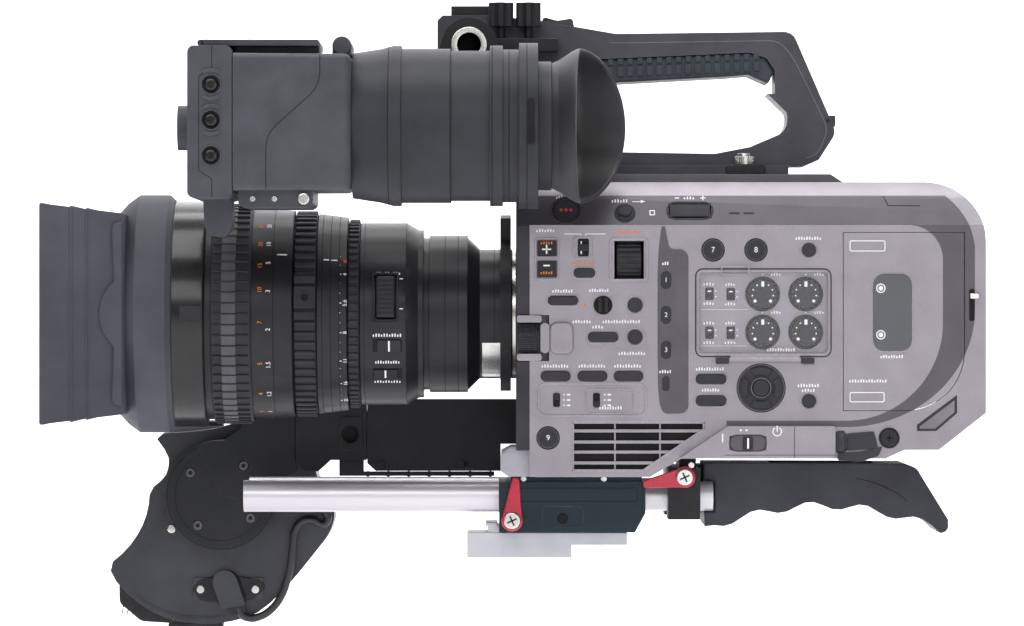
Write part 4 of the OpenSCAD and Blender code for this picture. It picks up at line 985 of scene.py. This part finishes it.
# %% Focus, zoom and iris rings
focus = turned([(-145.8, 50.9), (-145.8, 51.2), (-145.2, 51.8), (-127.2, 51.8), (-126.6, 51.2),
                (-126.6, 50.9),
                (-129, 50.9), (-129, 47.5), (-144.2, 47.5), (-144.2, 50.9)], steps=128)
ribs_round(-144.9, -127.9, 51.2, 52.8, 0.75, 64, focus, width=0.3)
piece("focus_ring_body", focus, "focus_ring", RING, replaces=("focus_ring",))
strip = turned([(-140.6, 51.5), (-140.6, 52.3), (-133.9, 52.3), (-133.9, 51.5)], steps=128)
piece("focus_ring_strip", strip, "focus_ring",
      finish("worn rubber strip", "#3a3a3d", "#48484c", 0.6, drift=9, bump=0.35))
zoom = turned([(-106.6, 45.6), (-106.6, 47.4), (-106, 48), (-96.6, 48), (-96, 47.4), (-96, 45.6)], steps=128)
ribs_round(-106.2, -96.4, 47.2, 49.3, 2.3, 64, zoom, skip=(-2, 21), width=0.45)
boss = slab(round_rect(-106.4, -96.2, -5.3, 5.3, 0.7), -50.2, -46.5, 0.4)
for half in (-8.6, 8.6):
    slab(round_rect(-106.4, -96.2, half - 1.9, half + 1.9, 0.6), -49.4, -46.5, 0.4, bm=boss)
bmesh.ops.transform(boss, matrix=around(9), verts=boss.verts)
join(zoom, boss)
piece("zoom_ring_body", zoom, "zoom_ring", RING, replaces=("zoom_ring",))
hole = round_rim(-101.3, 0, 2.7, 0.8, -50.6, -49.8, 0.15, place=around(9))
piece("zoom_lever_socket", hole, "zoom_ring", BLACK)
dimple = disc(-101.3, 0, 1.7, -50.26, -49.8, 0, 24, place=around(9))
piece("zoom_lever_hole", dimple, "zoom_ring", DARKFILL)
iris = turned([(-81.2, 42.4), (-81.2, 43.9), (-80.8, 44.3), (-76.2, 44.3), (-75.8, 43.9), (-75.8, 42.4)],
              steps=128)
ribs_round(-80.9, -76.1, 43.8, 45.2, 2.2, 70, iris, width=0.4)
piece("iris_ring_body", iris, "iris_ring", RING, replaces=("iris_ring",))
lens_seams = bmesh.new()
for x, r in ((-116.4, 50.05), (-107.6, 49.42), (-93.4, 47.72), (-89.4, 47.22), (-85.4, 46.75), (-73.6, 43.55),
             (-53.8, 43.5), (-35.4, 37.56), (-29.2, 37.56), (-12, 30.95)):
    seam_ring(x, r, lens_seams)
piece("lens_seams", lens_seams, "camera", DARKFILL)

# %% [markdown]
# The scales are numbers set along the ring, so they read from the side. The far scale is orange in feet
# and white in metres, and the iris scale is a run of stops with small divisions between.

# %% Lens scales
RUN_UP = Matrix(((0, -1, 0, 0), (0, 0, -1, 0), (1, 0, 0, 0), (0, 0, 0, 1)))


def scale_number(text, x, r, angle, size, bm):
    lift = around(angle) @ Matrix.Translation(Vector((x, -r, 0)) * MM) @ RUN_UP
    numeral(text, size, lift, bm)


def dash(x0, x1, r, angle, w, bm):
    slab([(x0, -w / 2), (x1, -w / 2), (x1, w / 2), (x0, w / 2)], -r - 0.12, -r + 0.3, 0, bm=bm,
         place=around(angle))


feet, metres = bmesh.new(), bmesh.new()
for text, angle in (("60", 56), ("30", 41), ("15", 27), ("10", 13), ("7", -4.6), ("5", -28), ("4", -49),
                    ("3", -68)):
    scale_number(text, -122.4, 50.22, angle, 3.0, feet)
for text, angle in (("20", 56), ("10", 41), ("5", 28.7), ("3", 12.3), ("2", -8.5), ("1.5", -28.8),
                    ("1.2", -49.3), ("1", -68)):
    scale_number(text, -118.5, 50.22, angle, 3.0, metres)
dash(-115.8, -109.8, 49.75, 34.2, 0.55, metres)
dash(-92.6, -90, 47.6, 32.5, 0.5, metres)
dash(-89, -86, 47.1, 32.5, 0.5, metres)
for text, angle in (("4", 23.7), ("5.6", 6.3), ("8", -11), ("11", -28.6), ("16", -45.2), ("22", -62)):
    scale_number(text, -82.3, 46.42, angle, 2.6, metres)
    dash(-85.2, -84, 46.55, angle, 0.45, metres)
    for part in (1, 2):
        dash(-85.2, -84.6, 46.55, angle + part * 5.8, 0.4, metres)
for x, dz in ((-56.6, 17), (-56.6, 2.4)):
    dash(x, x + 1.6, 43.6, dz / 43.6 * 57.3, 0.5, metres)
for length, angle in ((13, 26), (14, -13.4), (12, -31.6), (13, -47.5)):
    tick_row(-62.2, 0, length, metres, 1.5, face=-43.55, place=around(angle))
disc(-6.3, 0, 1.25, -31.2, -30.8, 0, 24, bm=metres, place=around(0))
red_index = bmesh.new()
dash(-83.3, -81.6, 46.35, 32.5, 1.6, red_index)
piece("scale_orange", feet, "camera", ORANGE, sharp=30)
piece("scale_white", metres, "camera", WHITE, sharp=30)
piece("scale_red", red_index, "camera", REDPRINT)

# %% [markdown]
# The rocker is ribbed across, and each slide switch is a slot with a flat slider and a white line. The
# metal plate on the tail is left blank, bent to the curve of the tube by a short spin.

# %% Rocker, slide switches and plate
rocker = block((-67.5, -58.9), (-45.2, -41.8), (-9.9, 9.9), 0.8, 3)
for i in range(9):
    block((-66.9, -59.5), (-45.8, -44.8), (i * 2.2 - 9.4, i * 2.2 - 8.2), 0.25, 1, bm=rocker)
turned([(-67.6, 0), (-67.6, 1.8), (-58.8, 1.8), (-58.8, 0)], -40.5, 0, 24, rocker, close=False)
bmesh.ops.transform(rocker, matrix=around(10.6), verts=rocker.verts)
piece("zoom_rocker_ribs", rocker, owner["zoom_rocker"], KEY, replaces=("zoom_rocker",))
frames, slots, lines = bmesh.new(), bmesh.new(), bmesh.new()
rim(-69.4, -57.2, -11.6, 11.6, 0.8, 0.7, -44.3, -40, 0.2, bm=frames, place=around(10.6))
for angle, knob_x, half in ((-20.2, -61.6, 3.2), (-40.2, -63.4, 2.8)):
    slab(round_rect(-69.4, -55.4, -half, half, 0.5), -43.75, -43, 0, bm=slots, place=around(angle))
    slab(round_rect(knob_x - 5.6, knob_x + 5.6, -half + 0.3, half - 0.3, 0.5), -44.3, -43.3, 0.25, bm=frames,
         place=around(angle))
    slab(stroke((knob_x, -half + 0.5), (knob_x, half - 0.5), 0.8), -44.4, -44.1, 0, bm=lines,
         place=around(angle))
piece("lens_switch_frames", frames, "camera", LENS)
piece("lens_switch_slots", slots, "camera", DARKFILL)
piece("lens_switch_lines", lines, "camera", WHITE)
plate = bmesh.new()
corners = [plate.verts.new((x * MM, -r * MM, 0)) for x,
           r in ((-17.6, 31.1), (-8.1, 31.1), (-8.1, 31.5), (-17.6, 31.5))]
plate.faces.new(corners)
bmesh.ops.rotate(plate, verts=plate.verts, cent=(0, 0, 0), matrix=Matrix.Rotation(math.radians(26), 3, "X"))
bmesh.ops.spin(plate, geom=plate.faces[:], cent=(0, 0, 0), axis=(1, 0, 0), angle=math.radians(48), steps=14)
bmesh.ops.translate(plate, verts=plate.verts, vec=(0, 0, AXIS * MM))
soften(plate, 0.15, angle=60)
piece("blank_plate", plate, "camera", STEEL)

# %% [markdown]
# ## The lens hood
# The hood starts round at the lens and opens into a flat-sided box. The CAD part has that form, and here
# it gains the raised lip round its mouth, two step lines, and the round shoulder ring at its back.

# %% Hood details
ALONG = Matrix.Rotation(math.radians(90), 4, "Z")
hood_lo = Vector(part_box("lens_hood")[0]) / MM


def collar(half_y, half_z, x0, x1, wall, r, bm=None, width=0.3):
    """A square ring round the lens axis, from x0 to x1."""
    outer = round_rect(-half_y, half_y, AXIS - half_z, AXIS + half_z, r)
    inside = round_rect(-half_y + wall, half_y - wall, AXIS - half_z + wall, AXIS + half_z - wall,
                        max(r - wall, 0.3))
    return ring(outer, inside, -x1, -x0, width, bm, ALONG)


refined("lens_hood", HOOD, 0.9, segments=3, sharp=30)
front = hood_lo.x
hood_trim = collar(59.9, 52.2, front + 0.1, front + 2.4, 2, 2.5)
collar(58.6, 51, front + 14.2, front + 15.3, 1.2, 2.2, hood_trim)
collar(57.4, 50, front + 21.8, front + 22.6, 1.2, 2.2, hood_trim)
piece("hood_lips", hood_trim, "camera", HOOD, slot=slot_of["lens_hood"])
cheek = bmesh.new()
for side in (-1, 1):
    outline = ([(-186.5, AXIS + 44), (-192, AXIS + 42)] + arc(-178, AXIS, 20, 130, 230, 12)
               + [(-192, AXIS - 42), (-186.5, AXIS - 44)])
    y0, y1 = sorted((side * 54.2, side * 57.4))
    slab(rounded(outline, 3), y0, y1, 1.4, segments=3, bm=cheek)
piece("hood_cheeks", cheek, "camera", HOOD, slot=slot_of["lens_hood"])

# %% [markdown]
# ## The viewfinder
# The monitor is a slim case with three domed knobs, the upper two each between two raised arcs. The
# loupe's box is a tapered cube with its front face removed and given a wall, because it really is an
# empty hood over the screen. A fine seam shaped like a stretched S crosses its side.

# %% Monitor and loupe box
lcd_lo, lcd_hi = (corner / MM for corner in map(Vector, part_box("lcd_monitor")))
KNOB_X = lcd_lo.x + 17.5
refined("lcd_monitor", MONITOR, 1.1, segments=3)
KNOBS = (220.6, 204.4, 188.2)
domes, arcs = bmesh.new(), bmesh.new()
for i, z in enumerate(KNOBS):
    disc(KNOB_X, z, 3.2, -146.1, -142.2, 1.6, bm=domes)
    round_rim(KNOB_X, z, 4.9, 0.6, -145.4, -144.6, 0.2, bm=arcs)
    for middle in ((90, 270) if i < 2 else ()):
        sweep_arc = arc(KNOB_X, z, 7.4, middle - 38, middle + 38, 10) + arc(KNOB_X, z, 5.7, middle + 34,
                                                                            middle - 34, 10)
        slab(sweep_arc, -145.9, -144.6, 0.35, bm=arcs)
piece("monitor_knobs", domes, owner["lcd_dials"], GLOSS, replaces=("lcd_dials",))
piece("monitor_arcs", arcs, owner["lcd_monitor"], MONITOR)
lcd_seam = bmesh.new()
path = [(KNOB_X + 0.4, 238), (KNOB_X + 0.4, 228.6), (KNOB_X - 5.6, 224), (KNOB_X - 5.6, 181.5),
        (KNOB_X + 0.4, 177.4),
        (KNOB_X + 0.4, 169)]
sign(path, lcd_seam, 0.3, -145.08)
piece("monitor_seam", lcd_seam, owner["lcd_monitor"], DARKFILL)

box_lo, box_hi = (corner / MM for corner in map(Vector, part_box("loupe_box")))
LOUPE_X1 = -77.1
LOUPE_Y, LOUPE_Z = -100, 203
loupe_case = bmesh.new()
bmesh.ops.create_cube(loupe_case, size=1)
for vert in loupe_case.verts:
    rear = vert.co.x > 0
    vert.co = Vector((LOUPE_X1 if rear else lcd_hi.x + 0.4, -97 + vert.co.y * 2 * (40 if rear else 48),
                      203.75 + vert.co.z * 2 * 31.3)) * MM
front_face = min(loupe_case.faces, key=lambda f: f.calc_center_median().x)
bmesh.ops.delete(loupe_case, geom=[front_face], context="FACES")
long_edges = [e for e in loupe_case.edges if e.is_manifold]
bmesh.ops.bevel(loupe_case, geom=long_edges, offset=3.4 * MM, offset_type="OFFSET", segments=5, profile=0.5,
                affect="EDGES", clamp_overlap=True, material=-1)
bmesh.ops.recalc_face_normals(loupe_case, faces=loupe_case.faces)
bmesh.ops.solidify(loupe_case, geom=loupe_case.faces[:], thickness=2 * MM)
block((-146, -92), (-132, -62), (238.6, 241.6), 0.5, bm=loupe_case)
block((-130.4, -92), (-120, -74), (234.6, 238.8), 0.5, bm=loupe_case)
slab(rounded([(-128.6, 172.8), (-128.6, 166), (-126, 164.6), (-96.5, 164.6), (-94.4, 166.4), (-94.4, 172.8)],
             1), -134, -60,
     0.5, bm=loupe_case)
disc(-81.6, 239.2, 4.4, -122, -72, 1.0, bm=loupe_case)
slab(rounded([(-86, 234.6), (-86, 238.8), (-77.4, 238.8), (-77.4, 234.6)], 0.5), -120, -76, 0.4,
     bm=loupe_case)
disc(-146, 240.1, 1.5, -132, -62, 0.3, 24, bm=loupe_case)
piece("loupe_case", loupe_case, owner["loupe_box"], MONITOR, replaces=("loupe_box",))
LEAN = 8 / 53.6
SHEAR = Matrix(((1, 0, 0, 0), (LEAN, 1, 0, 130.6 * MM * LEAN), (0, 0, 1, 0), (0, 0, 0, 1)))
s_line = rounded([(-91.1, 234.9), (-91.1, 220), (-115.6, 198), (-115.6, 172.6)], 7, 6)[6:-6]
s_seam = bmesh.new()
sign([(-91.1, 234.6), *s_line, (-115.6, 172.8)], s_seam, 0.28, -145.1, SHEAR)
piece("loupe_seam", s_seam, owner["loupe_box"], DARKFILL)
under = bmesh.new()
disc(-98.6, 168.6, 2.8, -136.4, -133, 0.8, bm=under)
for x in (-122, -112):
    disc(x, 168.6, 1.3, -134.6, -133.8, 0.3, 20, bm=under)
piece("loupe_latch", under, owner["loupe_box"], STEEL)

# %% [markdown]
# The eyepiece tube is a turned part with deep ring seams. The eyecup is a thick rubber flare: its rim is
# short on the near side and runs out on the far side as a shield beside the operator's eye.

# %% Eyepiece tube and eyecup
refined("loupe_tube", LOUPE, 0.3, sharp=30)
tube_rings = bmesh.new()
for x, r in ((-60.5, 36.6), (-32, 35.75), (-12.8, 37.2), (-5, 35.4), (3.2, 38.4)):
    seam_ring(x, r, tube_rings, 0.5, LOUPE_Y, LOUPE_Z)
piece("eyepiece_seams", tube_rings, owner["loupe_tube"], DARKFILL)
latch_slot = slab(round_rect(3.9, 6.9, -10.6, 10.6, 1.2), -38.7, -37.6, 0.15,
                  place=Matrix.Translation(Vector((0, LOUPE_Y, LOUPE_Z + 1)) * MM))
piece("diopter_slot", latch_slot, owner["loupe_tube"], DARKFILL)
CUP_STOPS = [(14.9, 29), (18, 30.3), (21, 32.2), (24, 34.2), (26.4, 35.5), (28.4, 35.95), (32, 35.9),
             (36, 35.7),
             (44, 35), (50.8, 34.4)]


def cup_radius(x):
    """Outer radius of the eyecup at x, from its neck to the end of the shield."""
    for (x0, r0), (x1, r1) in zip(CUP_STOPS, CUP_STOPS[1:]):
        if x <= x1:
            return r0 + (r1 - r0) * (x - x0) / (x1 - x0)
    return CUP_STOPS[-1][1]


cup = bmesh.new()
walls = []
for i in range(180):
    across, up = math.cos(i * math.tau / 180), math.sin(i * math.tau / 180)
    rim_x = 28.4 + (21.4 if across > 0 else 2.4) * across
    xs = [14.9 + (rim_x - 15.8) * k / 24 for k in range(25)]
    r = cup_radius(rim_x)
    wall = [(x, cup_radius(x)) for x in xs] + [(rim_x - 0.27, r - 0.3), (rim_x, r - 1.05),
                                               (rim_x - 0.27, r - 1.8)]
    wall += [(x, cup_radius(x) - 2.1) for x in reversed(xs[2:])] + [(14.9, 27.1)]
    walls.append([cup.verts.new(Vector((x, LOUPE_Y + q * across, LOUPE_Z + q * up)) * MM) for x, q in wall])
for one, two in zip(walls, walls[1:] + walls[:1]):
    for k in range(len(one)):
        cup.faces.new((one[k], one[k - 1], two[k - 1], two[k]))
piece("eyecup_rubber", cup, owner["eyecup"], EYE, replaces=("eyecup",), sharp=50)
neck = bmesh.new()
for i in range(3):
    turned([(10 + i * 1.7, 28.4), (10 + i * 1.7, 29.4), (10.9 + i * 1.7, 29.4), (10.9 + i * 1.7, 28.4)], -100,
           203, bm=neck)
piece("eyecup_neck", neck, owner["eyecup"], EYE)
eyepiece = turned([(-3, 0), (-1.2, 9), (-2.6, 19.4), (-5, 20), (-5, 0)], LOUPE_Y, LOUPE_Z, 96, close=False)
piece("eyepiece_lens", eyepiece, owner["loupe_tube"],
      finish("eyepiece glass", "#0b0f16", "#121823", 0.05, bump=0.0, coat=1.0))
eyepiece_ring = turned([(-5, 19.6), (-2, 19.6), (-1, 21), (-1, 27.6), (-5, 27.6)], LOUPE_Y, LOUPE_Z, 96)
piece("eyepiece_ring", eyepiece_ring, owner["loupe_tube"], KNOB)

# %% [markdown]
# ## Screen and front glass
# Two surfaces are polished: the monitor's screen under the loupe, and the coated front element, which
# shows a violet tint. Both keep a faint drift in tone so that they don't read as flat colour.

# %% Screen and glass
SCREEN = finish("monitor glass", "#07090c", "#0d1118", 0.06, spread=0.02, drift=40, bump=0.0, coat=0.8)
COATED = finish("coated glass", "#0e1420", "#241a3c", 0.05, spread=0.02, drift=45, bump=0.0, coat=1.0)
refined("lens_glass", COATED, 0.2, sharp=60)
screen = slab(round_rect(-133.4, -60.6, 180.6, 225.4, 1), -lcd_hi.x + 0.72, -lcd_hi.x + 1.3, 0.1, place=ALONG)
piece("monitor_screen", screen, owner["lcd_monitor"], SCREEN)

# %% [markdown]
# ## The top handle
# The casting keeps its CAD form with wide bevels, worn pale along the rims. A blue-grey rubber sleeve is
# set into its grip, with a row of raised pads on each side, and a rocker stands at the front.

# %% Handle details
CROSS_ROD = (-23.6, 242.6)
refined("handle_frame", HANDLE, 2.2, segments=4)
refined("handle_grip", SLEEVE, 1.2, segments=3)
pads = bmesh.new()
for i in range(16):
    x = 42.2 + i * 4.63
    lift = (x - 36) * 0.04
    for side in (-1, 1):
        y0, y1 = sorted((side * 15.4, side * 17.3))
        block((x, x + 3.0), (y0, y1), (228.6 + lift, 233.4 + lift), 0.6, 2, bm=pads)
        block((x + 0.2, x + 2.8), (y0, y1), (234.4 + lift, 237.2 + lift), 0.5, 2, bm=pads)
piece("sleeve_pads", pads, "camera", SLEEVE, slot=slot_of["handle_grip"])
contour = bmesh.new()
line = rounded([(30, 246.2), (48, 245.2), (124, 246.4), (131, 238), (147.6, 204), (142, 191), (131, 189.6)],
               5, 4)[5:-5]
for side in (-17.12, 16.87):
    sign(line, contour, 0.45, side)
piece("handle_contour", contour, "camera",
      finish("worn rim paint", "#57575d", "#6a6a70", 0.5, metal=0.3, bump=0.4))
rocker_key = slab(rounded([(10.4, 254), (11.6, 258.2), (18.4, 256.4), (25.4, 257.6), (26.6, 252.6)], 1.4), -7,
                  7, 0.8,
                  segments=3)
piece("handle_rocker", rocker_key, "camera", KEY)
tab = disc(147.4, 208.4, 1.1, -17.6, -16.8, 0.3, 20)
disc(*CROSS_ROD, 8.9, -17.9, -16.8, 0.5, bm=tab)
piece("handle_ring", tab, "camera", BLACK)
ring_face = round_rim(*CROSS_ROD, 8.5, 3.0, -58.3, -57.4, 0.4)
piece("cross_rod_end", ring_face, "camera", STEEL)


def post(x, y, z0, z1, r, width=0.3, steps=48, bm=None):
    """A round post along Z."""
    part = bmesh.new()
    bmesh.ops.create_cone(part, cap_ends=True, segments=steps, radius1=r * MM, radius2=r * MM,
                          depth=(z1 - z0) * MM,
                          matrix=Matrix.Translation(Vector((x, y, (z0 + z1) / 2)) * MM))
    soften(part, width, angle=50)
    return join(bm, part)


screw = post(107.3, -22.3, 187, 191.2, 4.5)
post(107.3, -22.3, 191, 192.4, 3.4, 0.4, bm=screw)
post(107.3, -22.3, 183.5, 187.2, 1.5, 0.1, 24, bm=screw)
for i in range(30):
    rib = block((4.3, 4.8), (-0.28, 0.28), (187.4, 190.8), 0.12, 1)
    bmesh.ops.transform(rib, verts=rib.verts, matrix=Matrix.Translation(Vector((107.3, -22.3, 0)) * MM)
                        @ Matrix.Rotation(i * math.tau / 30, 4, "Z"))
    join(screw, rib)
piece("thumbscrew_knurled", screw, owner["thumbscrew"], STEEL, replaces=("thumbscrew",))
tongue = slab(rounded([(98, 182.2), (98, 186.9), (117, 186.9), (117, 182.2)], 3), -29.2, -27.6, 0.6)
piece("screw_tongue", tongue, "camera", KNOB)

# %% [markdown]
# ## Rod base, levers and rear pad
# The levers are red anodised, each on a pale cross-head screw. The anodised plate has a groove, a small
# hole and small screws. The rear pad is a firm moulded rubber piece with waves for the fingers underneath.

# %% Base details

for node, (x, z) in {"front_lever": (-3.4, 18.5), "rear_lever": (78, 39)}.items():
    refined(node, RED, 0.7, segments=3)
    head = disc(x, z, 3.95, -53.3, -51.5, 0.7)
    piece(node + "_screw", head, owner[node], STEEL)
    cross = bmesh.new()
    sign([(x - 2.2, z - 1), (x + 2.2, z + 1)], cross, 0.8, -53.4)
    sign([(x - 1, z + 2.2), (x + 1, z - 2.2)], cross, 0.8, -53.4)
    piece(node + "_cross", cross, owner[node], TRIM)
plate_lines = bmesh.new()
rim(-5, 56, 27.4, 34, 1.5, 0.35, -48.1, -47.8, bm=plate_lines)
sign([(58, 22), (58, 36)], plate_lines, 0.3, -48.08)
disc(20.5, 19.4, 2.3, -48.05, -47.4, 0, 32, bm=plate_lines)
piece("plate_lines", plate_lines, "camera", DARKFILL)
small_screws = bmesh.new()
for x, z in ((81.2, 44.6), (2, 38), (40, 38)):
    disc(x, z, 1.5, -48.5 if x > 50 else -44.5, -43.8, 0.3, 24, bm=small_screws)
piece("base_screws", small_screws, "camera", STEEL)
refined("rear_pad", PAD, 3.6, segments=5, sharp=50)
pad_seams = bmesh.new()
for side in (-29.08, 28.83):
    sign(rounded([(150, 39), (166, 37), (180, 31), (193, 19)], 6, 5)[6:-6], pad_seams, 0.35, side)
piece("pad_seams", pad_seams, "camera", DARKFILL)

# %% [markdown]
# ## Vent and right-hand side
# The vent's slots are dark inside, because the fan's duct lies behind them. The right side isn't seen from
# the operator's place, so it gets only what such a camera needs: a panel of round sockets and the seams
# of its doors.

# %% Vent floor and sockets
VENT = [(25.2, 65), (86.3, 65), (86.3, 62.1), (58, 42.8), (25.2, 42.8)]
piece("vent_floor", slab(VENT, -67.5, -67.1, 0), "camera", DARKFILL)
grille = bmesh.new()
for (xa, za), (xb, zb) in zip(VENT, VENT[1:] + VENT[:1]):
    sign([(xa, za), (xb, zb)], grille, 0.8, -69.95)
for z in (61.2, 56, 51.3, 46.2):
    far = min(86, 58 + (z - 42.8) * 1.466)
    block((25.4, far), (-69.5, -67.5), (z - 0.75, z + 0.75), 0.3, bm=grille)
for x, low in ((44.8, 43), (65.9, 48.4)):
    block((x - 0.4, x + 0.4), (-68.8, -67.5), (low, 64.8), 0.15, bm=grille)
piece("vent_bars", grille, owner["vent_grille"], SHELL, replaces=("vent_grille",))
sockets, covers = bmesh.new(), bmesh.new()
for x in (130, 146, 162):
    for z in (104, 122, 138):
        round_rim(x, z, 5, 1.4, 72.9, 72.99, bm=sockets)
        disc(x, z, 1.1, 72.8, 72.99, 0, 20, bm=sockets)
for z0 in (98, 126):
    rim(174, 194, z0, z0 + 18, 2, 0.6, 72.8, 73.0, bm=covers)
for z0, z1 in ((70, 84), (96, 150)):
    rim(20, 100, z0, z1, 4, 0.5, 69.9, 70.02, bm=covers)
piece("right_sockets", sockets, "camera", STEEL)
piece("right_door_seams", covers, "camera", DARKFILL)

# %% [markdown]
# ## Arm and side grip
# The arm is a speckled casting. Its round end has an inner seam and four socket screws. The grip is one
# moulded shell with broad soft edges, a fine-ribbed band where the fingers lie, and a cable boot that
# stands on a flange with two screws.

# %% Arm details
DISC = (-146, 27.2)
refined("arm_outer", BLACK, 1.0, segments=3)
refined("arm_inner", BLACK, 0.8, segments=3)
arm_seams = round_rim(*DISC, 22.4, 0.35, 53.9, 54.2)
sign([(-109.3, 44), (-109.3, 73)], arm_seams, 0.5, 52.05)
round_rim(-82.4, 57, 4.4, 0.5, 50.25, 50.6, bm=arm_seams)
piece("arm_seams", arm_seams, owner["arm_inner"], DARKFILL)
caps, recesses = bmesh.new(), bmesh.new()
for angle in (52, 143, 233, 323):
    x, z = DISC[0] + 18.4 * math.cos(math.radians(angle)), DISC[1] + 18.4 * math.sin(math.radians(angle))
    disc(x, z, 2.35, 53.3, 54.6, 0.4, 40, bm=caps)
    hexagon = [(x + 1.1 * math.cos(i * math.tau / 6), z + 1.1 * math.sin(i * math.tau / 6)) for i in range(6)]
    slab(hexagon, 53.22, 53.5, 0, bm=recesses)
piece("disc_screws", caps, owner["arm_inner"],
      finish("dark screw steel", "#4a4a4e", "#5e5e62", 0.32, metal=0.9, bump=0.2))
piece("disc_screw_sockets", recesses, owner["arm_inner"], DARKFILL)
arm_screws = bmesh.new()
for x in (-67, -28.4):
    disc(x, 42.3, 1.7, 51, 52.2, 0.3, 28, bm=arm_screws)
piece("arm_screws", arm_screws, "camera", KNOB)

# %% [markdown]
# The grip's shell has wide soft bevels. Thin lines make the ribbed band, and the boot and its flange carry
# the lead.

# %% Grip details
refined("hand_grip", GRIP, 6.5, angle=48, segments=6, sharp=60)
grip_lines = bmesh.new()
for i in range(7):
    shift = i * 2.1
    line = [(-176.5 + shift, 33), (-178.8 + shift, 22), (-182.6 + shift, 11), (-189 + shift, 1),
            (-196 + shift, -8)]
    sign(rounded(line, 4, 4)[5:-5], grip_lines, 0.8, 71.7)
piece("grip_ribs", grip_lines, "side_grip", GRIP)
sole = bmesh.new()
sign(rounded([(-198, -13), (-184, -26.6), (-170, -32.6), (-152, -34), (-138, -31.6), (-128, -27.6)], 6,
             5)[6:-6],
     sole, 1.3, 71.6)
piece("grip_sole", sole, "side_grip", PAD)
boot = turned([(0, 0), (0.6, 2.6), (2.2, 4.6), (4.6, 5.8), (7, 6.2), (15, 6), (17.4, 5.4), (18.4, 4),
               (18.4, 0)], 0, 0, 48,
              close=False, place=Matrix.Translation(Vector((-145.4, 70.2, -10.5)) * MM)
              @ Matrix.Rotation(math.radians(68), 4, "Y") @ Matrix.Diagonal((1, 0.55, 1, 1)))
slab(rounded([(-161, -20), (-158, -14.6), (-149, -13), (-138, -13), (-126.6, -14.6), (-124.6, -19),
              (-130, -24.6),
              (-150, -26), (-157, -25)], 3, 5), 69.8, 71.8, 0.6, segments=3, bm=boot)
for x in (-156.6, -129.6):
    round_rim(x, -19.6, 3.0, 0.7, 69.5, 70.1, 0.2, bm=boot)
piece("cable_boot", boot, "side_grip", KNOB)
grip_screws = bmesh.new()
for x in (-156.6, -129.6):
    disc(x, -19.6, 1.9, 69.3, 70, 0.3, 32, bm=grip_screws)
disc(-170.9, 10.2, 2.3, 70.9, 72.6, 1.1, 32, bm=grip_screws)
piece("grip_screws", grip_screws, "side_grip", STEEL)
clip = slab(rounded([(-141.5, -27), (-135.6, -25), (-133.8, -30.4), (-139.8, -32.4)], 1.2), 66.8, 71, 0.5)
piece("lead_clip", clip, "side_grip", KNOB)

# %% [markdown]
# ## The hand strap
# The strap is a flat band of dense webbing, kept in its CAD shape with rounded edges. Its weave comes
# from two crossed waves in its material, and its free tail shows below the grip.

# %% Hand strap
WEB = finish("strap webbing", "#1a1a1c", "#242427", 0.75, spread=0.05, grain=0.5, bump=0.4, sheen=0.3)
web_tree = WEB.node_tree
weave_place = web_tree.nodes.new("ShaderNodeTexCoord")
weave = [web_tree.nodes.new("ShaderNodeTexWave") for axis in "XZ"]
for wave, axis in zip(weave, "XZ"):
    wave.bands_direction = axis
    wave.inputs["Scale"].default_value = 420
    web_tree.links.new(weave_place.outputs["Object"], wave.inputs["Vector"])
crossed = web_tree.nodes.new("ShaderNodeMath")
crossed.operation = "MULTIPLY"
web_tree.links.new(weave[0].outputs["Fac"], crossed.inputs[0])
web_tree.links.new(weave[1].outputs["Fac"], crossed.inputs[1])
weave_bump = web_tree.nodes.new("ShaderNodeBump")
weave_bump.inputs["Strength"].default_value = 0.6
weave_bump.inputs["Distance"].default_value = 0.3 * MM
web_tree.links.new(crossed.outputs[0], weave_bump.inputs["Height"])
web_tree.links.new(weave_bump.outputs["Normal"], web_tree.nodes["Principled BSDF"].inputs["Normal"])
strap = refined("grip_strap", WEB, 0.7, angle=60, segments=3, sharp=70)
tail = slab(rounded([(-198.4, -17.5), (-198.2, -27.5), (-187.4, -36.6), (-172, -37.6), (-172, -28)], 2), 96,
            99, 0.6)
for i in range(9):
    sign([(-197 + i * 2.6, -33.4), (-195.6 + i * 2.6, -25.2)], tail, 0.5, 95.9)
piece("strap_tail", tail, "side_grip", WEB)


# %% [markdown]
# ## CAD parts that keep their shape
# The remaining nodes already have the right form, so each keeps its CAD shape and gets a bevel and a finish.
# The table gives the finish and the width of the bevel in millimetres.

# %% Refined parts
REFINED = {
    "chassis": (CHIN, 0.5),
    "right_cover": (SHELL, 1.2),
    "front_bezel": (TRIM, 0.6),
    "lens_mount": (STEEL, 0.3),
    "sensor_unit": (BOARD, 0.3),
    "main_board": (BOARD, 0.3),
    "battery": (TRIM, 1.0),
    "switch_housing": (SHELL, 0.8),
    "audio_hinge": (TRIM, 0.3),
    "lock_ring": (BLACK, 0.5),
    "rec_button": (KEY, 0.6),
    "volume_rocker": (KEY, 0.6),
    "shoe_plate": (BLACK, 0.4),
    "clamp_knob_1": (BLACK, 0.6),
    "clamp_knob_2": (BLACK, 0.6),
    "cross_rod": (BLACK, 0.5),
    "evf_arm": (BLACK, 0.8),
    "bridge_plate": (BLUE, 0.6),
    "rods": (ROD, 0.6),
    "rear_clamp": (BLACK, 0.6),
    "tripod_plate": (PLATE, 0.7),
}
for node, (look, width) in REFINED.items():
    refined(node, look, width)
